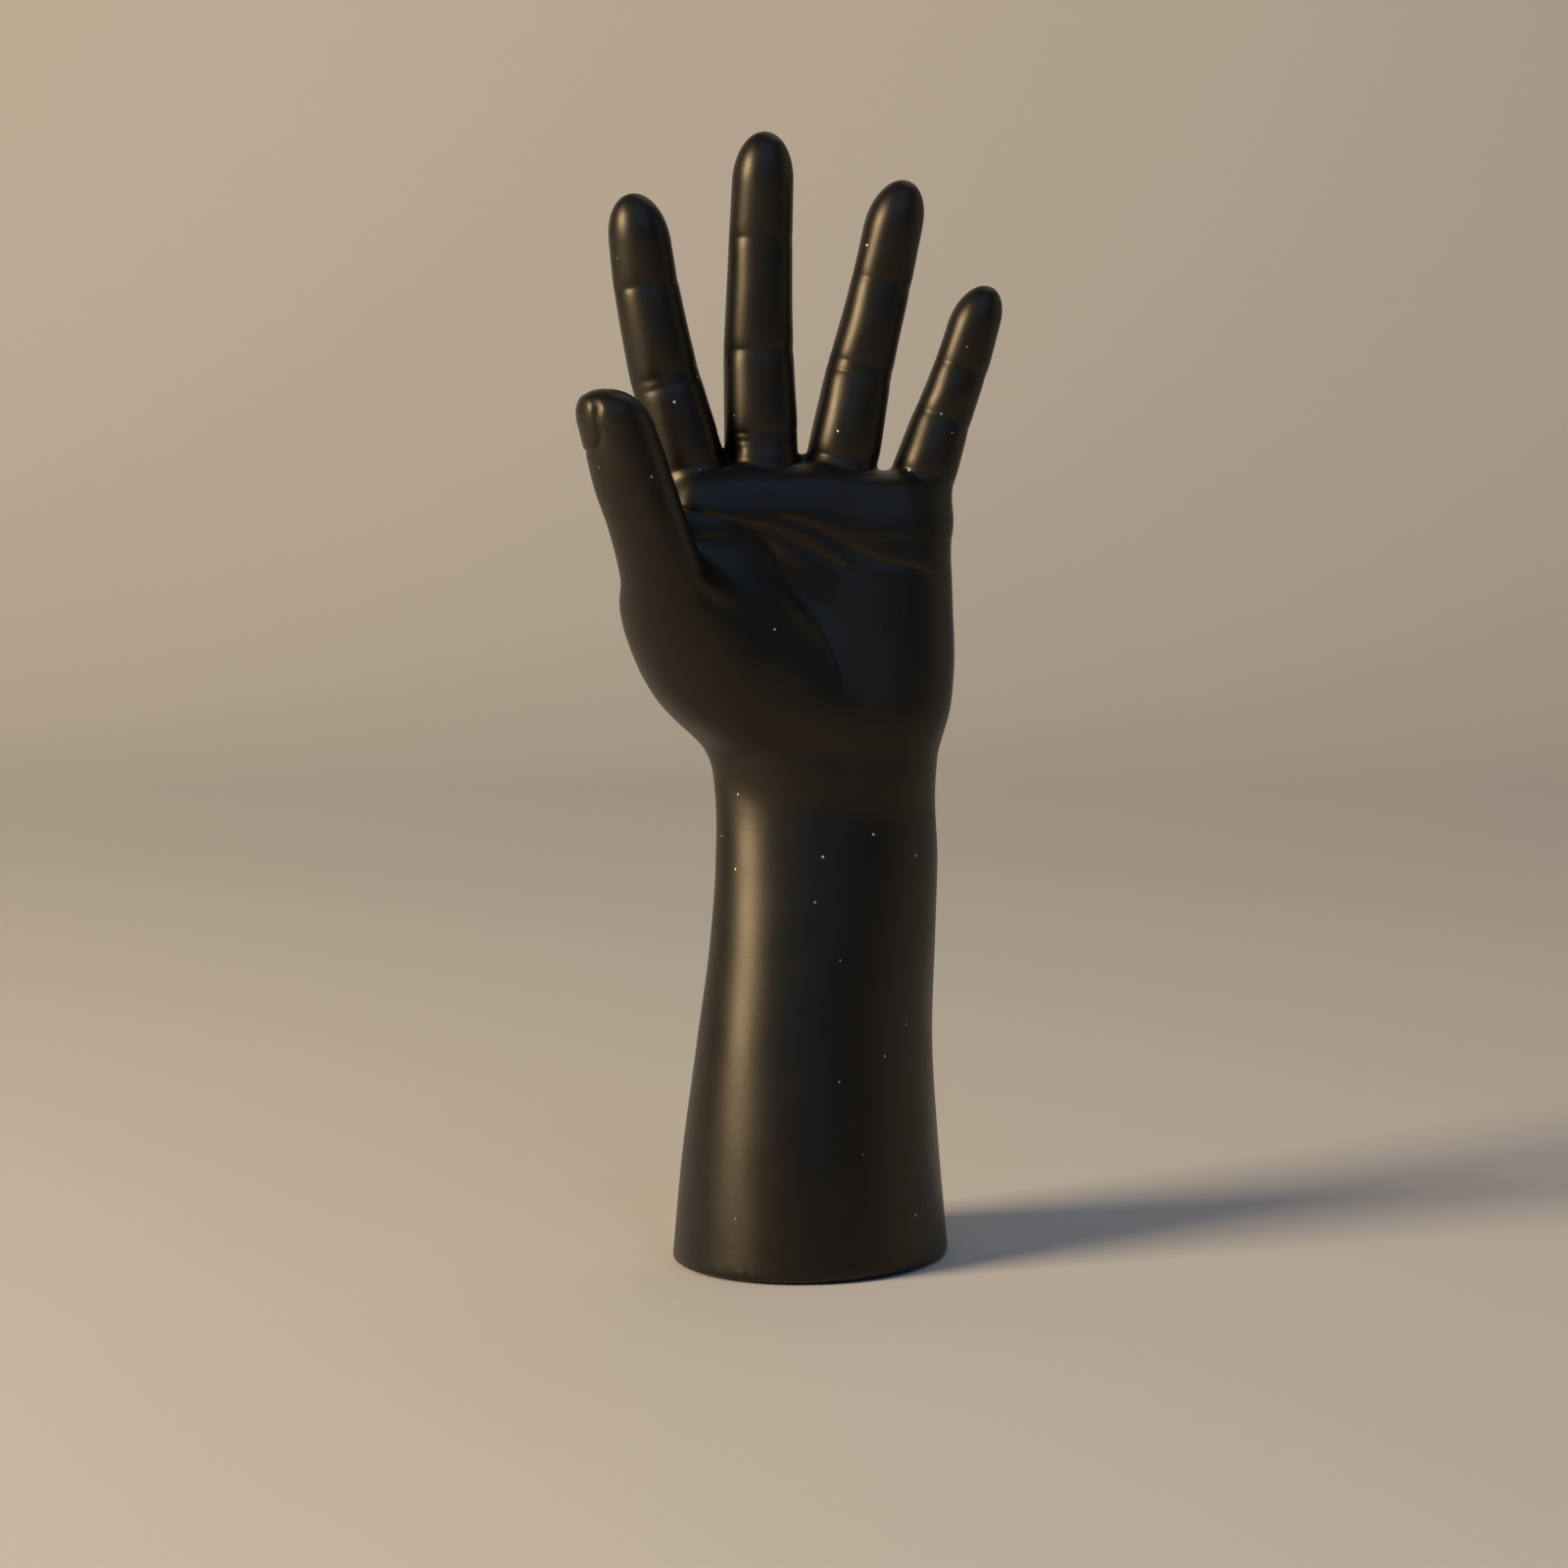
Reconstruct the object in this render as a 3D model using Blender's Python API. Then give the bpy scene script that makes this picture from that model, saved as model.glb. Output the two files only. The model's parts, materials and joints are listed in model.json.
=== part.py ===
"""Ring display hand: a standing forearm and open hand, cast hollow, weighted and felted at the foot."""

import math
from dataclasses import dataclass

import bpy
import bmesh
import numpy as np
from mathutils import Vector

# Foot and forearm, in metres. The hand stands on +Z, the palm looks along -Y and the thumb is at -X.
FOREARM_LENGTH = 0.1280
FOOT_LONG = 0.0856
FOOT_SHORT = 0.0736
FOOT_TWIST = 48.0
WRIST_WIDTH = 0.0618
WRIST_DEPTH = 0.0418
WRIST_PALM_SIDE = 0.474
WRIST_SHIFT = 0.0041

# Palm
PALM_LENGTH = 0.0880
PALM_WIDTH = 0.0740
PALM_DEPTH = 0.0262
HEEL_DEPTH = 0.0358

# Fingers: depth of a section on each side of its middle and height of the tip's dome, in half widths, and
# the power of its oval
FINGER_PALM_SIDE = 0.95
FINGER_BACK_SIDE = 0.88
FINGER_DOME = 1.68
FINGER_POWER = 2.15
FINGER_ROOT = 0.0260

# Fillets where pads, fingers and thumb flow into the palm. Those of fingers and thumb are wide at the root
# and narrow further up: the fingers' from FILLET_DROP below the palm's end over FILLET_FADE, and the
# thumb's from FILLET_RISE above the wrist over THUMB_FADE.
OUTER_PAD_FILLET = 0.0110
THUMB_PAD_FILLET = 0.0070
FINGER_FILLET = 0.0056
CROTCH_FILLET = 0.0014
FILLET_DROP = 0.0160
FILLET_FADE = 0.0180
THUMB_ROOT_FILLET = 0.0150
THUMB_FILLET = 0.0050
FILLET_RISE = 0.0520
THUMB_FADE = 0.0180

# Power of the ovals of the heel's two pads
OUTER_PAD_POWER = 2.4
THUMB_PAD_POWER = 2.5

# Casting
WALL = 0.0055
RIM_WALL = 0.0032
HOLLOW_SHARE = 0.66
CLEARANCE = 0.0003

# Foot closure
FELT_THICKNESS = 0.0020
RIM_HEIGHT = 0.0008
PLATE_THICKNESS = 0.0060

# Ballast and its fastener
BALLAST_RADIUS = 0.0240
BALLAST_HEIGHT = 0.0260
BALLAST_CHAMFER = 0.0015
BOLT_DIAMETER = 0.0060
BOLT_HEAD_DIAMETER = 0.0120
BOLT_HEAD_HEIGHT = 0.0033
BOLT_END = 0.0030
SOCKET_ACROSS = 0.0040
SOCKET_DEPTH = 0.0020
WASHER_DIAMETER = 0.0120
WASHER_THICKNESS = 0.0016
NUT_ACROSS = 0.0100
NUT_THICKNESS = 0.0050

# Reinforcing rods
ROD_DIAMETER = 0.0026
ROD_TAIL = 0.0100
ROD_COVER = 0.0100

# Mesh fineness: spacing of the skin's grid and of its sections, and share of its triangles kept
SKIN_PITCH = 0.0016
ROW_STEP = 0.0010
HOLLOW_STEP = 0.0080
KEEP = 0.12
RING_POINTS = 40

WRIST_HEIGHT = FOREARM_LENGTH
PALM_TOP = WRIST_HEIGHT + PALM_LENGTH
HOLLOW_TOP = WRIST_HEIGHT + HOLLOW_SHARE * PALM_LENGTH
PLATE_BOTTOM = FELT_THICKNESS + CLEARANCE
PLATE_TOP = PLATE_BOTTOM + PLATE_THICKNESS
SHOULDER_HEIGHT = PLATE_TOP + CLEARANCE
BALLAST_BOTTOM = PLATE_TOP + CLEARANCE
BALLAST_TOP = BALLAST_BOTTOM + BALLAST_HEIGHT
WASHER_BOTTOM = BALLAST_TOP + CLEARANCE
WASHER_TOP = WASHER_BOTTOM + WASHER_THICKNESS
NUT_BOTTOM = WASHER_TOP + CLEARANCE
NUT_TOP = NUT_BOTTOM + NUT_THICKNESS
BOLT_TOP = NUT_TOP + BOLT_END


@dataclass(frozen=True)
class Finger:
    """One finger: place of its root on the palm, its three bones and its half widths at the joints.

    The root is given as a share of the palm's width, a share of its depth and a rise above its end.
    """

    name: str
    root: tuple
    bones: tuple
    half_widths: tuple

    def joints(self):
        """Middle points of root, middle joint, end joint and tip, from the floor."""
        across, away, rise = self.root
        point = np.array((across * PALM_WIDTH, away * PALM_DEPTH, PALM_TOP + rise))
        points = [point]
        for bone in self.bones:
            point = point + np.array(bone)
            points.append(point)
        return points


INDEX = Finger("index", (-0.4514, 0.000, 0.0033),
               ((-0.0069, 0.0, 0.0231), (-0.0056, -0.0010, 0.0258), (-0.0036, -0.0020, 0.0242)),
               (0.0102, 0.0096, 0.0088, 0.0079))
MIDDLE = Finger("middle", (-0.1878, 0.019, 0.0104),
                ((-0.0007, 0.0, 0.0239), (0.0004, -0.0010, 0.0304), (0.0006, -0.0020, 0.0285)),
                (0.0097, 0.0094, 0.0086, 0.0081))
RING = Finger("ring", (0.1189, 0.000, 0.0055),
              ((0.0046, 0.0, 0.0234), (0.0058, -0.0010, 0.0240), (0.0054, -0.0020, 0.0276)),
              (0.0096, 0.0090, 0.0083, 0.0079))
LITTLE = Finger("little", (0.4162, -0.038, -0.0006),
                ((0.0054, 0.0, 0.0161), (0.0049, -0.0010, 0.0134), (0.0064, -0.0020, 0.0231)),
                (0.0091, 0.0083, 0.0077, 0.0068))
FINGERS = (INDEX, MIDDLE, RING, LITTLE)

# Thumb and the two pads of the heel. Each row has the height above the wrist as a share of the palm's
# length, middle x and half width as shares of its width, and middle y, depth to the palm side and depth to
# the back as shares of its depth, in the order height, x, y, half width, palm side, back.
THUMB_ROWS = (
    (0.364, -0.3919, -0.1908, 0.1622, 0.4580, 0.3817),
    (0.500, -0.4946, -0.4198, 0.1703, 0.4733, 0.4198),
    (0.636, -0.5770, -0.6794, 0.1649, 0.4695, 0.4427),
    (0.750, -0.6243, -0.8626, 0.1541, 0.4580, 0.4427),
    (0.859, -0.6730, -0.9924, 0.1473, 0.4427, 0.4275),
    (0.977, -0.7270, -1.0840, 0.1473, 0.4351, 0.4122),
    (1.091, -0.7703, -1.1527, 0.1405, 0.4160, 0.3969),
    (1.159, -0.7973, -1.1908, 0.1351, 0.3969, 0.3817),
)
THUMB_ENDS = (0.205, 1.280)
THUMB_PAD_ROWS = (
    (0.159, -0.1351, -0.1145, 0.2027, 0.5725, 0.3435),
    (0.250, -0.1811, -0.1145, 0.3027, 0.7176, 0.3817),
    (0.364, -0.2351, -0.1336, 0.3595, 0.7557, 0.4198),
    (0.477, -0.2892, -0.1718, 0.3595, 0.7252, 0.4389),
    (0.591, -0.3541, -0.2481, 0.3243, 0.6107, 0.4580),
    (0.682, -0.4000, -0.2863, 0.2757, 0.4885, 0.4580),
    (0.750, -0.4243, -0.3130, 0.2216, 0.3588, 0.4198),
    (0.818, -0.4405, -0.3282, 0.1568, 0.2137, 0.3435),
)
THUMB_PAD_ENDS = (-0.045, 0.886)
OUTER_PAD_ROWS = (
    (0.125, 0.1622, -0.0382, 0.2162, 0.5725, 0.3053),
    (0.239, 0.1838, -0.0382, 0.2784, 0.6794, 0.3435),
    (0.398, 0.1946, -0.0382, 0.3054, 0.6718, 0.3817),
    (0.568, 0.2108, -0.0382, 0.2838, 0.5954, 0.3435),
    (0.727, 0.2432, -0.0382, 0.2365, 0.4885, 0.3053),
    (0.807, 0.2703, -0.0382, 0.1824, 0.3969, 0.2672),
)
OUTER_PAD_ENDS = (-0.068, 0.932)

# Line of the thumb's rod: its tail in the hollow, then heights along the thumb, in the same shares
THUMB_ROD_TAIL = (0.318, -0.2568, -0.2290)
THUMB_ROD_HEIGHTS = (0.636, 0.750, 0.859, 0.977, 1.091)

# Mounds under the fingers, at the knuckles and in the crotches: height, x, y, half sizes in x, y and z, and
# fillet as a share of the palm's depth
MOUNDS = (
    (0.898, -0.2568, -0.2443, 0.1622, 0.2366, 0.1364, 0.344),
    (0.886, 0.0203, -0.2519, 0.1622, 0.2366, 0.1364, 0.344),
    (0.847, 0.2905, -0.2290, 0.1486, 0.2290, 0.1364, 0.344),
    (0.881, -0.4486, -0.2061, 0.1027, 0.2901, 0.1364, 0.344),
    (0.932, -0.4135, 0.2443, 0.1027, 0.2519, 0.1091, 0.305),
    (0.977, -0.1838, 0.2824, 0.1027, 0.2595, 0.1091, 0.305),
    (0.932, 0.0946, 0.2595, 0.0973, 0.2443, 0.1023, 0.305),
    (0.852, 0.3514, 0.2061, 0.0919, 0.2290, 0.0977, 0.305),
    (0.959, -0.3284, 0.0000, 0.0568, 0.2519, 0.1023, 0.092),
    (0.970, -0.0297, 0.0000, 0.0676, 0.2595, 0.1023, 0.092),
    (0.893, 0.2730, -0.0229, 0.0595, 0.2366, 0.1000, 0.092),
)

# Bone at the outer side of the wrist, below it: the same, in shares of the forearm's length, the wrist's
# width and its depth
WRIST_BONE = (-0.117, 0.396, 0.2775, 0.1294, 0.1435, 0.0820, 0.263)


def trunk_rows():
    """Sections of forearm and palm: height, x, y, half width, palm side, back, twist and power."""
    foot_a = FOOT_LONG / 2
    foot_b = FOOT_SHORT / 2
    wrist_a = WRIST_WIDTH / 2
    wrist_palm = WRIST_DEPTH * WRIST_PALM_SIDE
    wrist_back = WRIST_DEPTH - wrist_palm
    palm_a = PALM_WIDTH / 2
    rows = []
    # share of the forearm's length, of the way from foot to wrist in width, palm side and back, and of the
    # twist and the shift
    forearm = ((-0.102, -0.101, -0.082, -0.095, 1.021, 0.0), (0.0, 0.0, 0.0, 0.0, 1.0, 0.0),
               (0.234, 0.252, 0.212, 0.243, 0.875, 0.0), (0.469, 0.538, 0.465, 0.534, 0.708, 0.268),
               (0.703, 0.782, 0.682, 0.784, 0.458, 0.854), (0.859, 0.908, 0.847, 0.919, 0.250, 1.098),
               (1.0, 1.0, 1.0, 1.0, 0.083, 1.0))
    for along, wide, front, rear, twist, shift in forearm:
        rows.append((along * FOREARM_LENGTH, shift * WRIST_SHIFT, 0.0, foot_a + (wrist_a - foot_a) * wide,
                     foot_b + (wrist_palm - foot_b) * front, foot_b + (wrist_back - foot_b) * rear,
                     twist * FOOT_TWIST, 2.0))
    # share of the palm's length, of the wrist's shift, of the half width, palm side, back and power
    palm = ((0.136, 0.83, 0.849, 0.525 * HEEL_DEPTH, 0.598 * HEEL_DEPTH, 2.15),
            (0.307, 0.54, 0.924, 0.464 * HEEL_DEPTH, 0.536 * HEEL_DEPTH, 2.3),
            (0.500, 0.24, 0.968, 0.504 * PALM_DEPTH, 0.649 * PALM_DEPTH, 2.5),
            (0.659, 0.05, 0.978, 0.473 * PALM_DEPTH, 0.580 * PALM_DEPTH, 2.6),
            (0.773, -0.05, 0.992, 0.481 * PALM_DEPTH, 0.542 * PALM_DEPTH, 2.6),
            (0.875, 0.0, 1.000, 0.504 * PALM_DEPTH, 0.496 * PALM_DEPTH, 2.6),
            (0.943, 0.05, 0.973, 0.473 * PALM_DEPTH, 0.435 * PALM_DEPTH, 2.5))
    for along, shift, wide, front, rear, power in palm:
        height = WRIST_HEIGHT + along * PALM_LENGTH
        rows.append((height, shift * WRIST_SHIFT, 0.0, wide * palm_a, front, rear, 0.0, power))
    return np.array(rows)


def palm_rows(shares, power):
    """Sections given in shares of the palm, in metres from the floor, with the power of their ovals."""
    rows = np.array(shares)
    rows = rows * (PALM_LENGTH, PALM_WIDTH, PALM_DEPTH, PALM_WIDTH, PALM_DEPTH, PALM_DEPTH)
    rows[:, 0] += WRIST_HEIGHT
    plain = np.zeros((len(rows), 1))
    return np.hstack([rows, plain, plain + power])


def finger_rows(finger):
    """Sections of one finger, from inside the palm up to where its tip begins to round off."""
    joints = finger.joints()
    lean = (joints[1] - joints[0]) / (joints[1][2] - joints[0][2])
    start = joints[0] - lean * FINGER_ROOT
    rows = [(start[2], start[0], start[1], finger.half_widths[0], 0.40 * PALM_DEPTH, 0.42 * PALM_DEPTH,
             0.0, FINGER_POWER)]
    for point, half in zip(joints, finger.half_widths):
        rows.append((point[2], point[0], point[1], half, half * FINGER_PALM_SIDE, half * FINGER_BACK_SIDE,
                     0.0, FINGER_POWER))
    fine = smooth_rows(rows, ROW_STEP)
    dome_base = joints[3][2] - FINGER_DOME * finger.half_widths[3]
    return fine[fine[:, 0] <= dome_base]


def smooth_rows(rows, step):
    """The same stack at an even spacing in height, by a cubic through the given rows."""
    rows = np.asarray(rows, dtype=float)
    heights = rows[:, 0]
    slopes = np.gradient(rows, heights, axis=0)
    count = max(2, int(round((heights[-1] - heights[0]) / step)) + 1)
    levels = np.linspace(heights[0], heights[-1], count)
    low = np.clip(np.searchsorted(heights, levels, side="right") - 1, 0, len(heights) - 2)
    span = heights[low + 1] - heights[low]
    t = ((levels - heights[low]) / span)[:, None]
    span = span[:, None]
    fine = ((2 * t**3 - 3 * t**2 + 1) * rows[low] + (t**3 - 2 * t**2 + t) * span * slopes[low]
            + (3 * t**2 - 2 * t**3) * rows[low + 1] + (t**3 - t**2) * span * slopes[low + 1])
    fine[:, 0] = levels
    return fine


@dataclass
class Limb:
    """A stack of oval sections, rounded off from its last one to its top and from its first down."""

    rows: np.ndarray
    bottom: float
    top: float

    def depth(self, x, y, z):
        """Distance of points from the limb's surface, to first order, negative inside."""
        rows = self.rows
        column = [np.interp(z, rows[:, 0], rows[:, k]) for k in range(1, rows.shape[1])]
        over = np.maximum(z - rows[-1, 0], 0.0)
        under = np.maximum(rows[0, 0] - z, 0.0)
        lean_top = (rows[-1, 1:3] - rows[-2, 1:3]) / (rows[-1, 0] - rows[-2, 0])
        lean_low = (rows[1, 1:3] - rows[0, 1:3]) / (rows[1, 0] - rows[0, 0])
        dx = x - column[0] - lean_top[0] * over + lean_low[0] * under
        dy = y - column[1] - lean_top[1] * over + lean_low[1] * under
        turn = np.radians(column[5])
        u = dx * np.cos(turn) + dy * np.sin(turn)
        v = dy * np.cos(turn) - dx * np.sin(turn)
        half = column[2]
        side = np.where(v < 0, column[3], column[4])
        power = column[6]
        rise = np.where(z > rows[-1, 0], self.top - rows[-1, 0], rows[0, 0] - self.bottom)
        past = (over + under) / rise
        pu = np.abs(u) / half
        pv = np.abs(v) / side
        oval = np.maximum((pu**power + pv**power) ** (1 / power), 1e-4)
        size = np.hypot(oval, past)
        slope = np.hypot((pu / oval) ** (power - 1) / half, (pv / oval) ** (power - 1) / side)
        return (size - 1.0) / np.hypot(slope * oval / size, past / size / rise)

    def corners(self):
        """Lowest and highest corner of a box round the limb."""
        reach = self.rows[:, 3:6].max(axis=1)[:, None]
        low = (self.rows[:, 1:3] - reach).min(axis=0)
        high = (self.rows[:, 1:3] + reach).max(axis=0)
        return (*low, self.bottom), (*high, self.top)


def mound_depth(middle, half, x, y, z):
    """Distance of points from an egg-shaped mound, to first order, negative inside."""
    offset = [(p - c) / h for p, c, h in zip((x, y, z), middle, half)]
    size = np.sqrt(offset[0]**2 + offset[1]**2 + offset[2]**2)
    slope = np.sqrt((offset[0] / half[0])**2 + (offset[1] / half[1])**2 + (offset[2] / half[2])**2)
    return (size - 1.0) * size / np.maximum(slope, 1e-3)


def eased(share):
    """A share held between 0 and 1, with a smooth start and end."""
    held = np.clip(share, 0.0, 1.0)
    return held * held * (3 - 2 * held)


def blended(first, second, width):
    """The nearer of two surfaces, with a fillet of the given width where they meet."""
    near = np.maximum(width - np.abs(first - second), 0.0) / width
    return np.minimum(first, second) - near * near * width / 4


class Skin:
    """Outer surface of forearm, palm, fingers and thumb as one flowing body."""

    def __init__(self):
        self.trunk = Limb(smooth_rows(trunk_rows(), ROW_STEP), -0.23 * FOREARM_LENGTH,
                          WRIST_HEIGHT + 1.023 * PALM_LENGTH)
        self.outer_pad = self.palm_limb(OUTER_PAD_ROWS, OUTER_PAD_ENDS, OUTER_PAD_POWER)
        self.thumb_pad = self.palm_limb(THUMB_PAD_ROWS, THUMB_PAD_ENDS, THUMB_PAD_POWER)
        self.thumb = self.palm_limb(THUMB_ROWS, THUMB_ENDS, 2.0)
        self.fingers = []
        for finger in FINGERS:
            rows = finger_rows(finger)
            self.fingers.append(Limb(rows, rows[0, 0] - finger.half_widths[0], finger.joints()[3][2]))
        palm = np.array((PALM_LENGTH, PALM_WIDTH, PALM_DEPTH))
        wrist = np.array((FOREARM_LENGTH, WRIST_WIDTH, WRIST_DEPTH))
        self.mounds = [self.mound(row, palm) for row in MOUNDS]
        self.mounds.append(self.mound(WRIST_BONE, wrist))

    @staticmethod
    def palm_limb(shares, ends, power):
        """A limb given in shares of the palm."""
        bottom, top = (WRIST_HEIGHT + share * PALM_LENGTH for share in ends)
        return Limb(smooth_rows(palm_rows(shares, power), ROW_STEP), bottom, top)

    @staticmethod
    def mound(row, sizes):
        """Middle, half sizes and fillet of a mound given in shares of a length, a width and a depth."""
        length, width, depth = sizes
        middle = (row[1] * width, row[2] * depth, WRIST_HEIGHT + row[0] * length)
        half = (row[3] * width, row[4] * depth, row[5] * length)
        return middle, half, row[6] * depth

    def depth(self, x, y, z):
        """Distance of points from the skin, negative inside."""
        skin = self.trunk.depth(x, y, z)
        skin = blended(skin, self.outer_pad.depth(x, y, z), OUTER_PAD_FILLET)
        skin = blended(skin, self.thumb_pad.depth(x, y, z), THUMB_PAD_FILLET)
        for middle, half, fillet in self.mounds:
            skin = blended(skin, mound_depth(middle, half, x, y, z), fillet)
        fade = eased((z - PALM_TOP + FILLET_DROP) / FILLET_FADE)
        close = FINGER_FILLET + (CROTCH_FILLET - FINGER_FILLET) * fade
        for finger in self.fingers:
            skin = blended(skin, finger.depth(x, y, z), close)
        fade = eased((z - WRIST_HEIGHT - FILLET_RISE) / THUMB_FADE)
        root = THUMB_ROOT_FILLET + (THUMB_FILLET - THUMB_ROOT_FILLET) * fade
        return blended(skin, self.thumb.depth(x, y, z), root)

    def mesh(self, name):
        """The skin's mesh: one point in each grid cell that it crosses, drawn on to it and evened out."""
        limbs = (self.trunk, self.outer_pad, self.thumb_pad, self.thumb, *self.fingers)
        corners = [limb.corners() for limb in limbs]
        low = np.min([pair[0] for pair in corners], axis=0) - OUTER_PAD_FILLET
        high = np.max([pair[1] for pair in corners], axis=0) + OUTER_PAD_FILLET
        lines = [np.arange(a, b, SKIN_PITCH) for a, b in zip(low, high)]
        grid = self.depth(lines[0][:, None, None], lines[1][None, :, None], lines[2][None, None, :])
        points, quads = contour(grid, lines)
        ends = np.concatenate([quads[:, [k, (k + 1) % 4]] for k in range(4)])
        links = np.unique(np.sort(ends, axis=1), axis=0)
        share = np.bincount(links.ravel(), minlength=len(points))[:, None]
        for _ in range(4):
            total = np.zeros_like(points)
            np.add.at(total, links[:, 0], points[links[:, 1]])
            np.add.at(total, links[:, 1], points[links[:, 0]])
            out = facing(points, quads)
            move = (total / share - points) / 2
            points = points + move - out * np.sum(move * out, axis=1, keepdims=True)
            for _ in range(2):
                step = np.clip(self.depth(*points.T), -SKIN_PITCH, SKIN_PITCH)
                points = points - out * step[:, None]
        mesh = bpy.data.meshes.new(name)
        mesh.from_pydata(points.tolist(), [], quads.tolist())
        mesh.update()
        return mesh


def facing(points, quads):
    """Outward direction at each point of a mesh of quads."""
    corner = points[quads]
    across = np.cross(corner[:, 2] - corner[:, 0], corner[:, 3] - corner[:, 1])
    total = np.zeros_like(points)
    for k in range(4):
        np.add.at(total, quads[:, k], across)
    return total / np.maximum(np.linalg.norm(total, axis=1, keepdims=True), 1e-12)


def contour(grid, lines):
    """Points and outward quads over the zero surface of values on a grid."""
    inside = grid < 0
    cells = [n - 1 for n in grid.shape]
    corners = [(i, j, k) for i in (0, 1) for j in (0, 1) for k in (0, 1)]
    count = sum(inside[i:i + cells[0], j:j + cells[1], k:k + cells[2]].astype(int) for i, j, k in corners)
    at = np.argwhere((count > 0) & (count < 8))
    index = np.full(cells, -1)
    index[tuple(at.T)] = np.arange(len(at))
    total = np.zeros((len(at), 3))
    hits = np.zeros((len(at), 1))
    for axis in range(3):
        ahead = np.eye(3, dtype=int)[axis]
        for start in [corner for corner in corners if corner[axis] == 0]:
            p = at + np.array(start)
            q = p + ahead
            a = grid[tuple(p.T)]
            b = grid[tuple(q.T)]
            crossing = ((a < 0) != (b < 0))[:, None]
            t = (a / np.where(a == b, 1.0, a - b))[:, None]
            near = np.column_stack([lines[n][p[:, n]] for n in range(3)])
            far = np.column_stack([lines[n][q[:, n]] for n in range(3)])
            total += np.where(crossing, near + t * (far - near), 0.0)
            hits += crossing
    quads = []
    for axis in range(3):
        n = (axis + 1) % 3
        m = (axis + 2) % 3
        change = np.diff(inside, axis=axis)
        edge = np.argwhere(change)
        around = []
        for dn, dm in ((-1, -1), (0, -1), (0, 0), (-1, 0)):
            cell = edge.copy()
            cell[:, n] += dn
            cell[:, m] += dm
            around.append(index[tuple(cell.T)])
        quad = np.column_stack(around)
        leaving = inside[tuple(edge.T)][:, None]
        quads.append(np.where(leaving, quad, quad[:, ::-1]))
    return total / hits, np.concatenate(quads)


def section(row, inset=0.0):
    """One level ring of a stack, drawn in by the given inset."""
    z, cx, cy, half_width, palm_side, back, twist, power = row
    turn = math.radians(twist)
    ring = []
    for k in range(RING_POINTS):
        angle = 2 * math.pi * k / RING_POINTS
        c = math.cos(angle)
        s = math.sin(angle)
        depth = palm_side if s < 0 else back
        x = (half_width - inset) * math.copysign(abs(c) ** (2 / power), c)
        y = (depth - inset) * math.copysign(abs(s) ** (2 / power), s)
        ring.append(Vector((cx + x * math.cos(turn) - y * math.sin(turn),
                            cy + x * math.sin(turn) + y * math.cos(turn), z)))
    return ring


def add_loft(bm, rings):
    """Skin a pile of rings into the mesh and close its two ends."""
    loops = [[bm.verts.new(point) for point in ring] for ring in rings]
    for lower, upper in zip(loops, loops[1:]):
        for k in range(len(lower)):
            n = (k + 1) % len(lower)
            bm.faces.new((lower[k], lower[n], upper[n], upper[k]))
    bm.faces.new(list(reversed(loops[0])))
    bm.faces.new(loops[-1])


def new_object(name, mesh, collection):
    """Make an object of a mesh and put it in a collection."""
    item = bpy.data.objects.new(name, mesh)
    collection.objects.link(item)
    return item


def mesh_of(name, bm):
    """Turn a finished working mesh into mesh data with outward faces."""
    bmesh.ops.recalc_face_normals(bm, faces=bm.faces)
    mesh = bpy.data.meshes.new(name)
    bm.to_mesh(mesh)
    bm.free()
    return mesh


def stack_object(name, rows, collection, inset):
    """A closed solid skinned over one stack of sections."""
    bm = bmesh.new()
    add_loft(bm, [section(row, inset) for row in rows])
    return new_object(name, mesh_of(name, bm), collection)


def turned_object(name, profile, collection, sides=32):
    """A closed solid turned about Z from pairs of radius and height, bottom to top."""
    bm = bmesh.new()
    rings = []
    for radius, height in profile:
        angles = [2 * math.pi * k / sides for k in range(sides)]
        rings.append([Vector((radius * math.cos(t), radius * math.sin(t), height)) for t in angles])
    add_loft(bm, rings)
    return new_object(name, mesh_of(name, bm), collection)


def rod_object(name, points, radius, collection):
    """A round rod along a bent line, made as a bevelled curve and kept as a mesh."""
    curve = bpy.data.curves.new(name, "CURVE")
    curve.dimensions = "3D"
    curve.bevel_depth = radius
    curve.bevel_resolution = 2
    curve.use_fill_caps = True
    line = curve.splines.new("POLY")
    line.points.add(len(points) - 1)
    for target, point in zip(line.points, points):
        target.co = (point[0], point[1], point[2], 1.0)
    holder = bpy.data.objects.new(name + "_line", curve)
    mesh = bpy.data.meshes.new_from_object(holder)
    mesh.name = name
    bpy.data.objects.remove(holder)
    bpy.data.curves.remove(curve)
    return new_object(name, mesh, collection)


def cut(target, cutter):
    """Subtract a cutter from a piece and mark the cutter as a guide."""
    change = target.modifiers.new(cutter.name, "BOOLEAN")
    change.operation = "DIFFERENCE"
    change.solver = "EXACT"
    change.object = cutter
    cutter.hide_render = True
    cutter.display_type = "WIRE"


def finish(name, colour, roughness, metallic=0.0):
    """A plain surface for one kind of material."""
    material = bpy.data.materials.new(name)
    material.use_nodes = True
    shader = material.node_tree.nodes["Principled BSDF"]
    shader.inputs["Base Color"].default_value = (*colour, 1.0)
    shader.inputs["Roughness"].default_value = roughness
    shader.inputs["Metallic"].default_value = metallic
    material.diffuse_color = (*colour, 1.0)
    return material


def rod_points(finger):
    """Line of a finger's rod: a free tail in the hollow, then up the finger to below its tip."""
    joints = finger.joints()
    tail = np.array((joints[0][0] * 0.72, joints[0][1], HOLLOW_TOP - ROD_TAIL))
    top = joints[3] - (joints[3] - joints[2]) * ROD_COVER / (joints[3][2] - joints[2][2])
    return [tail, *joints[:3], top]


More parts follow.
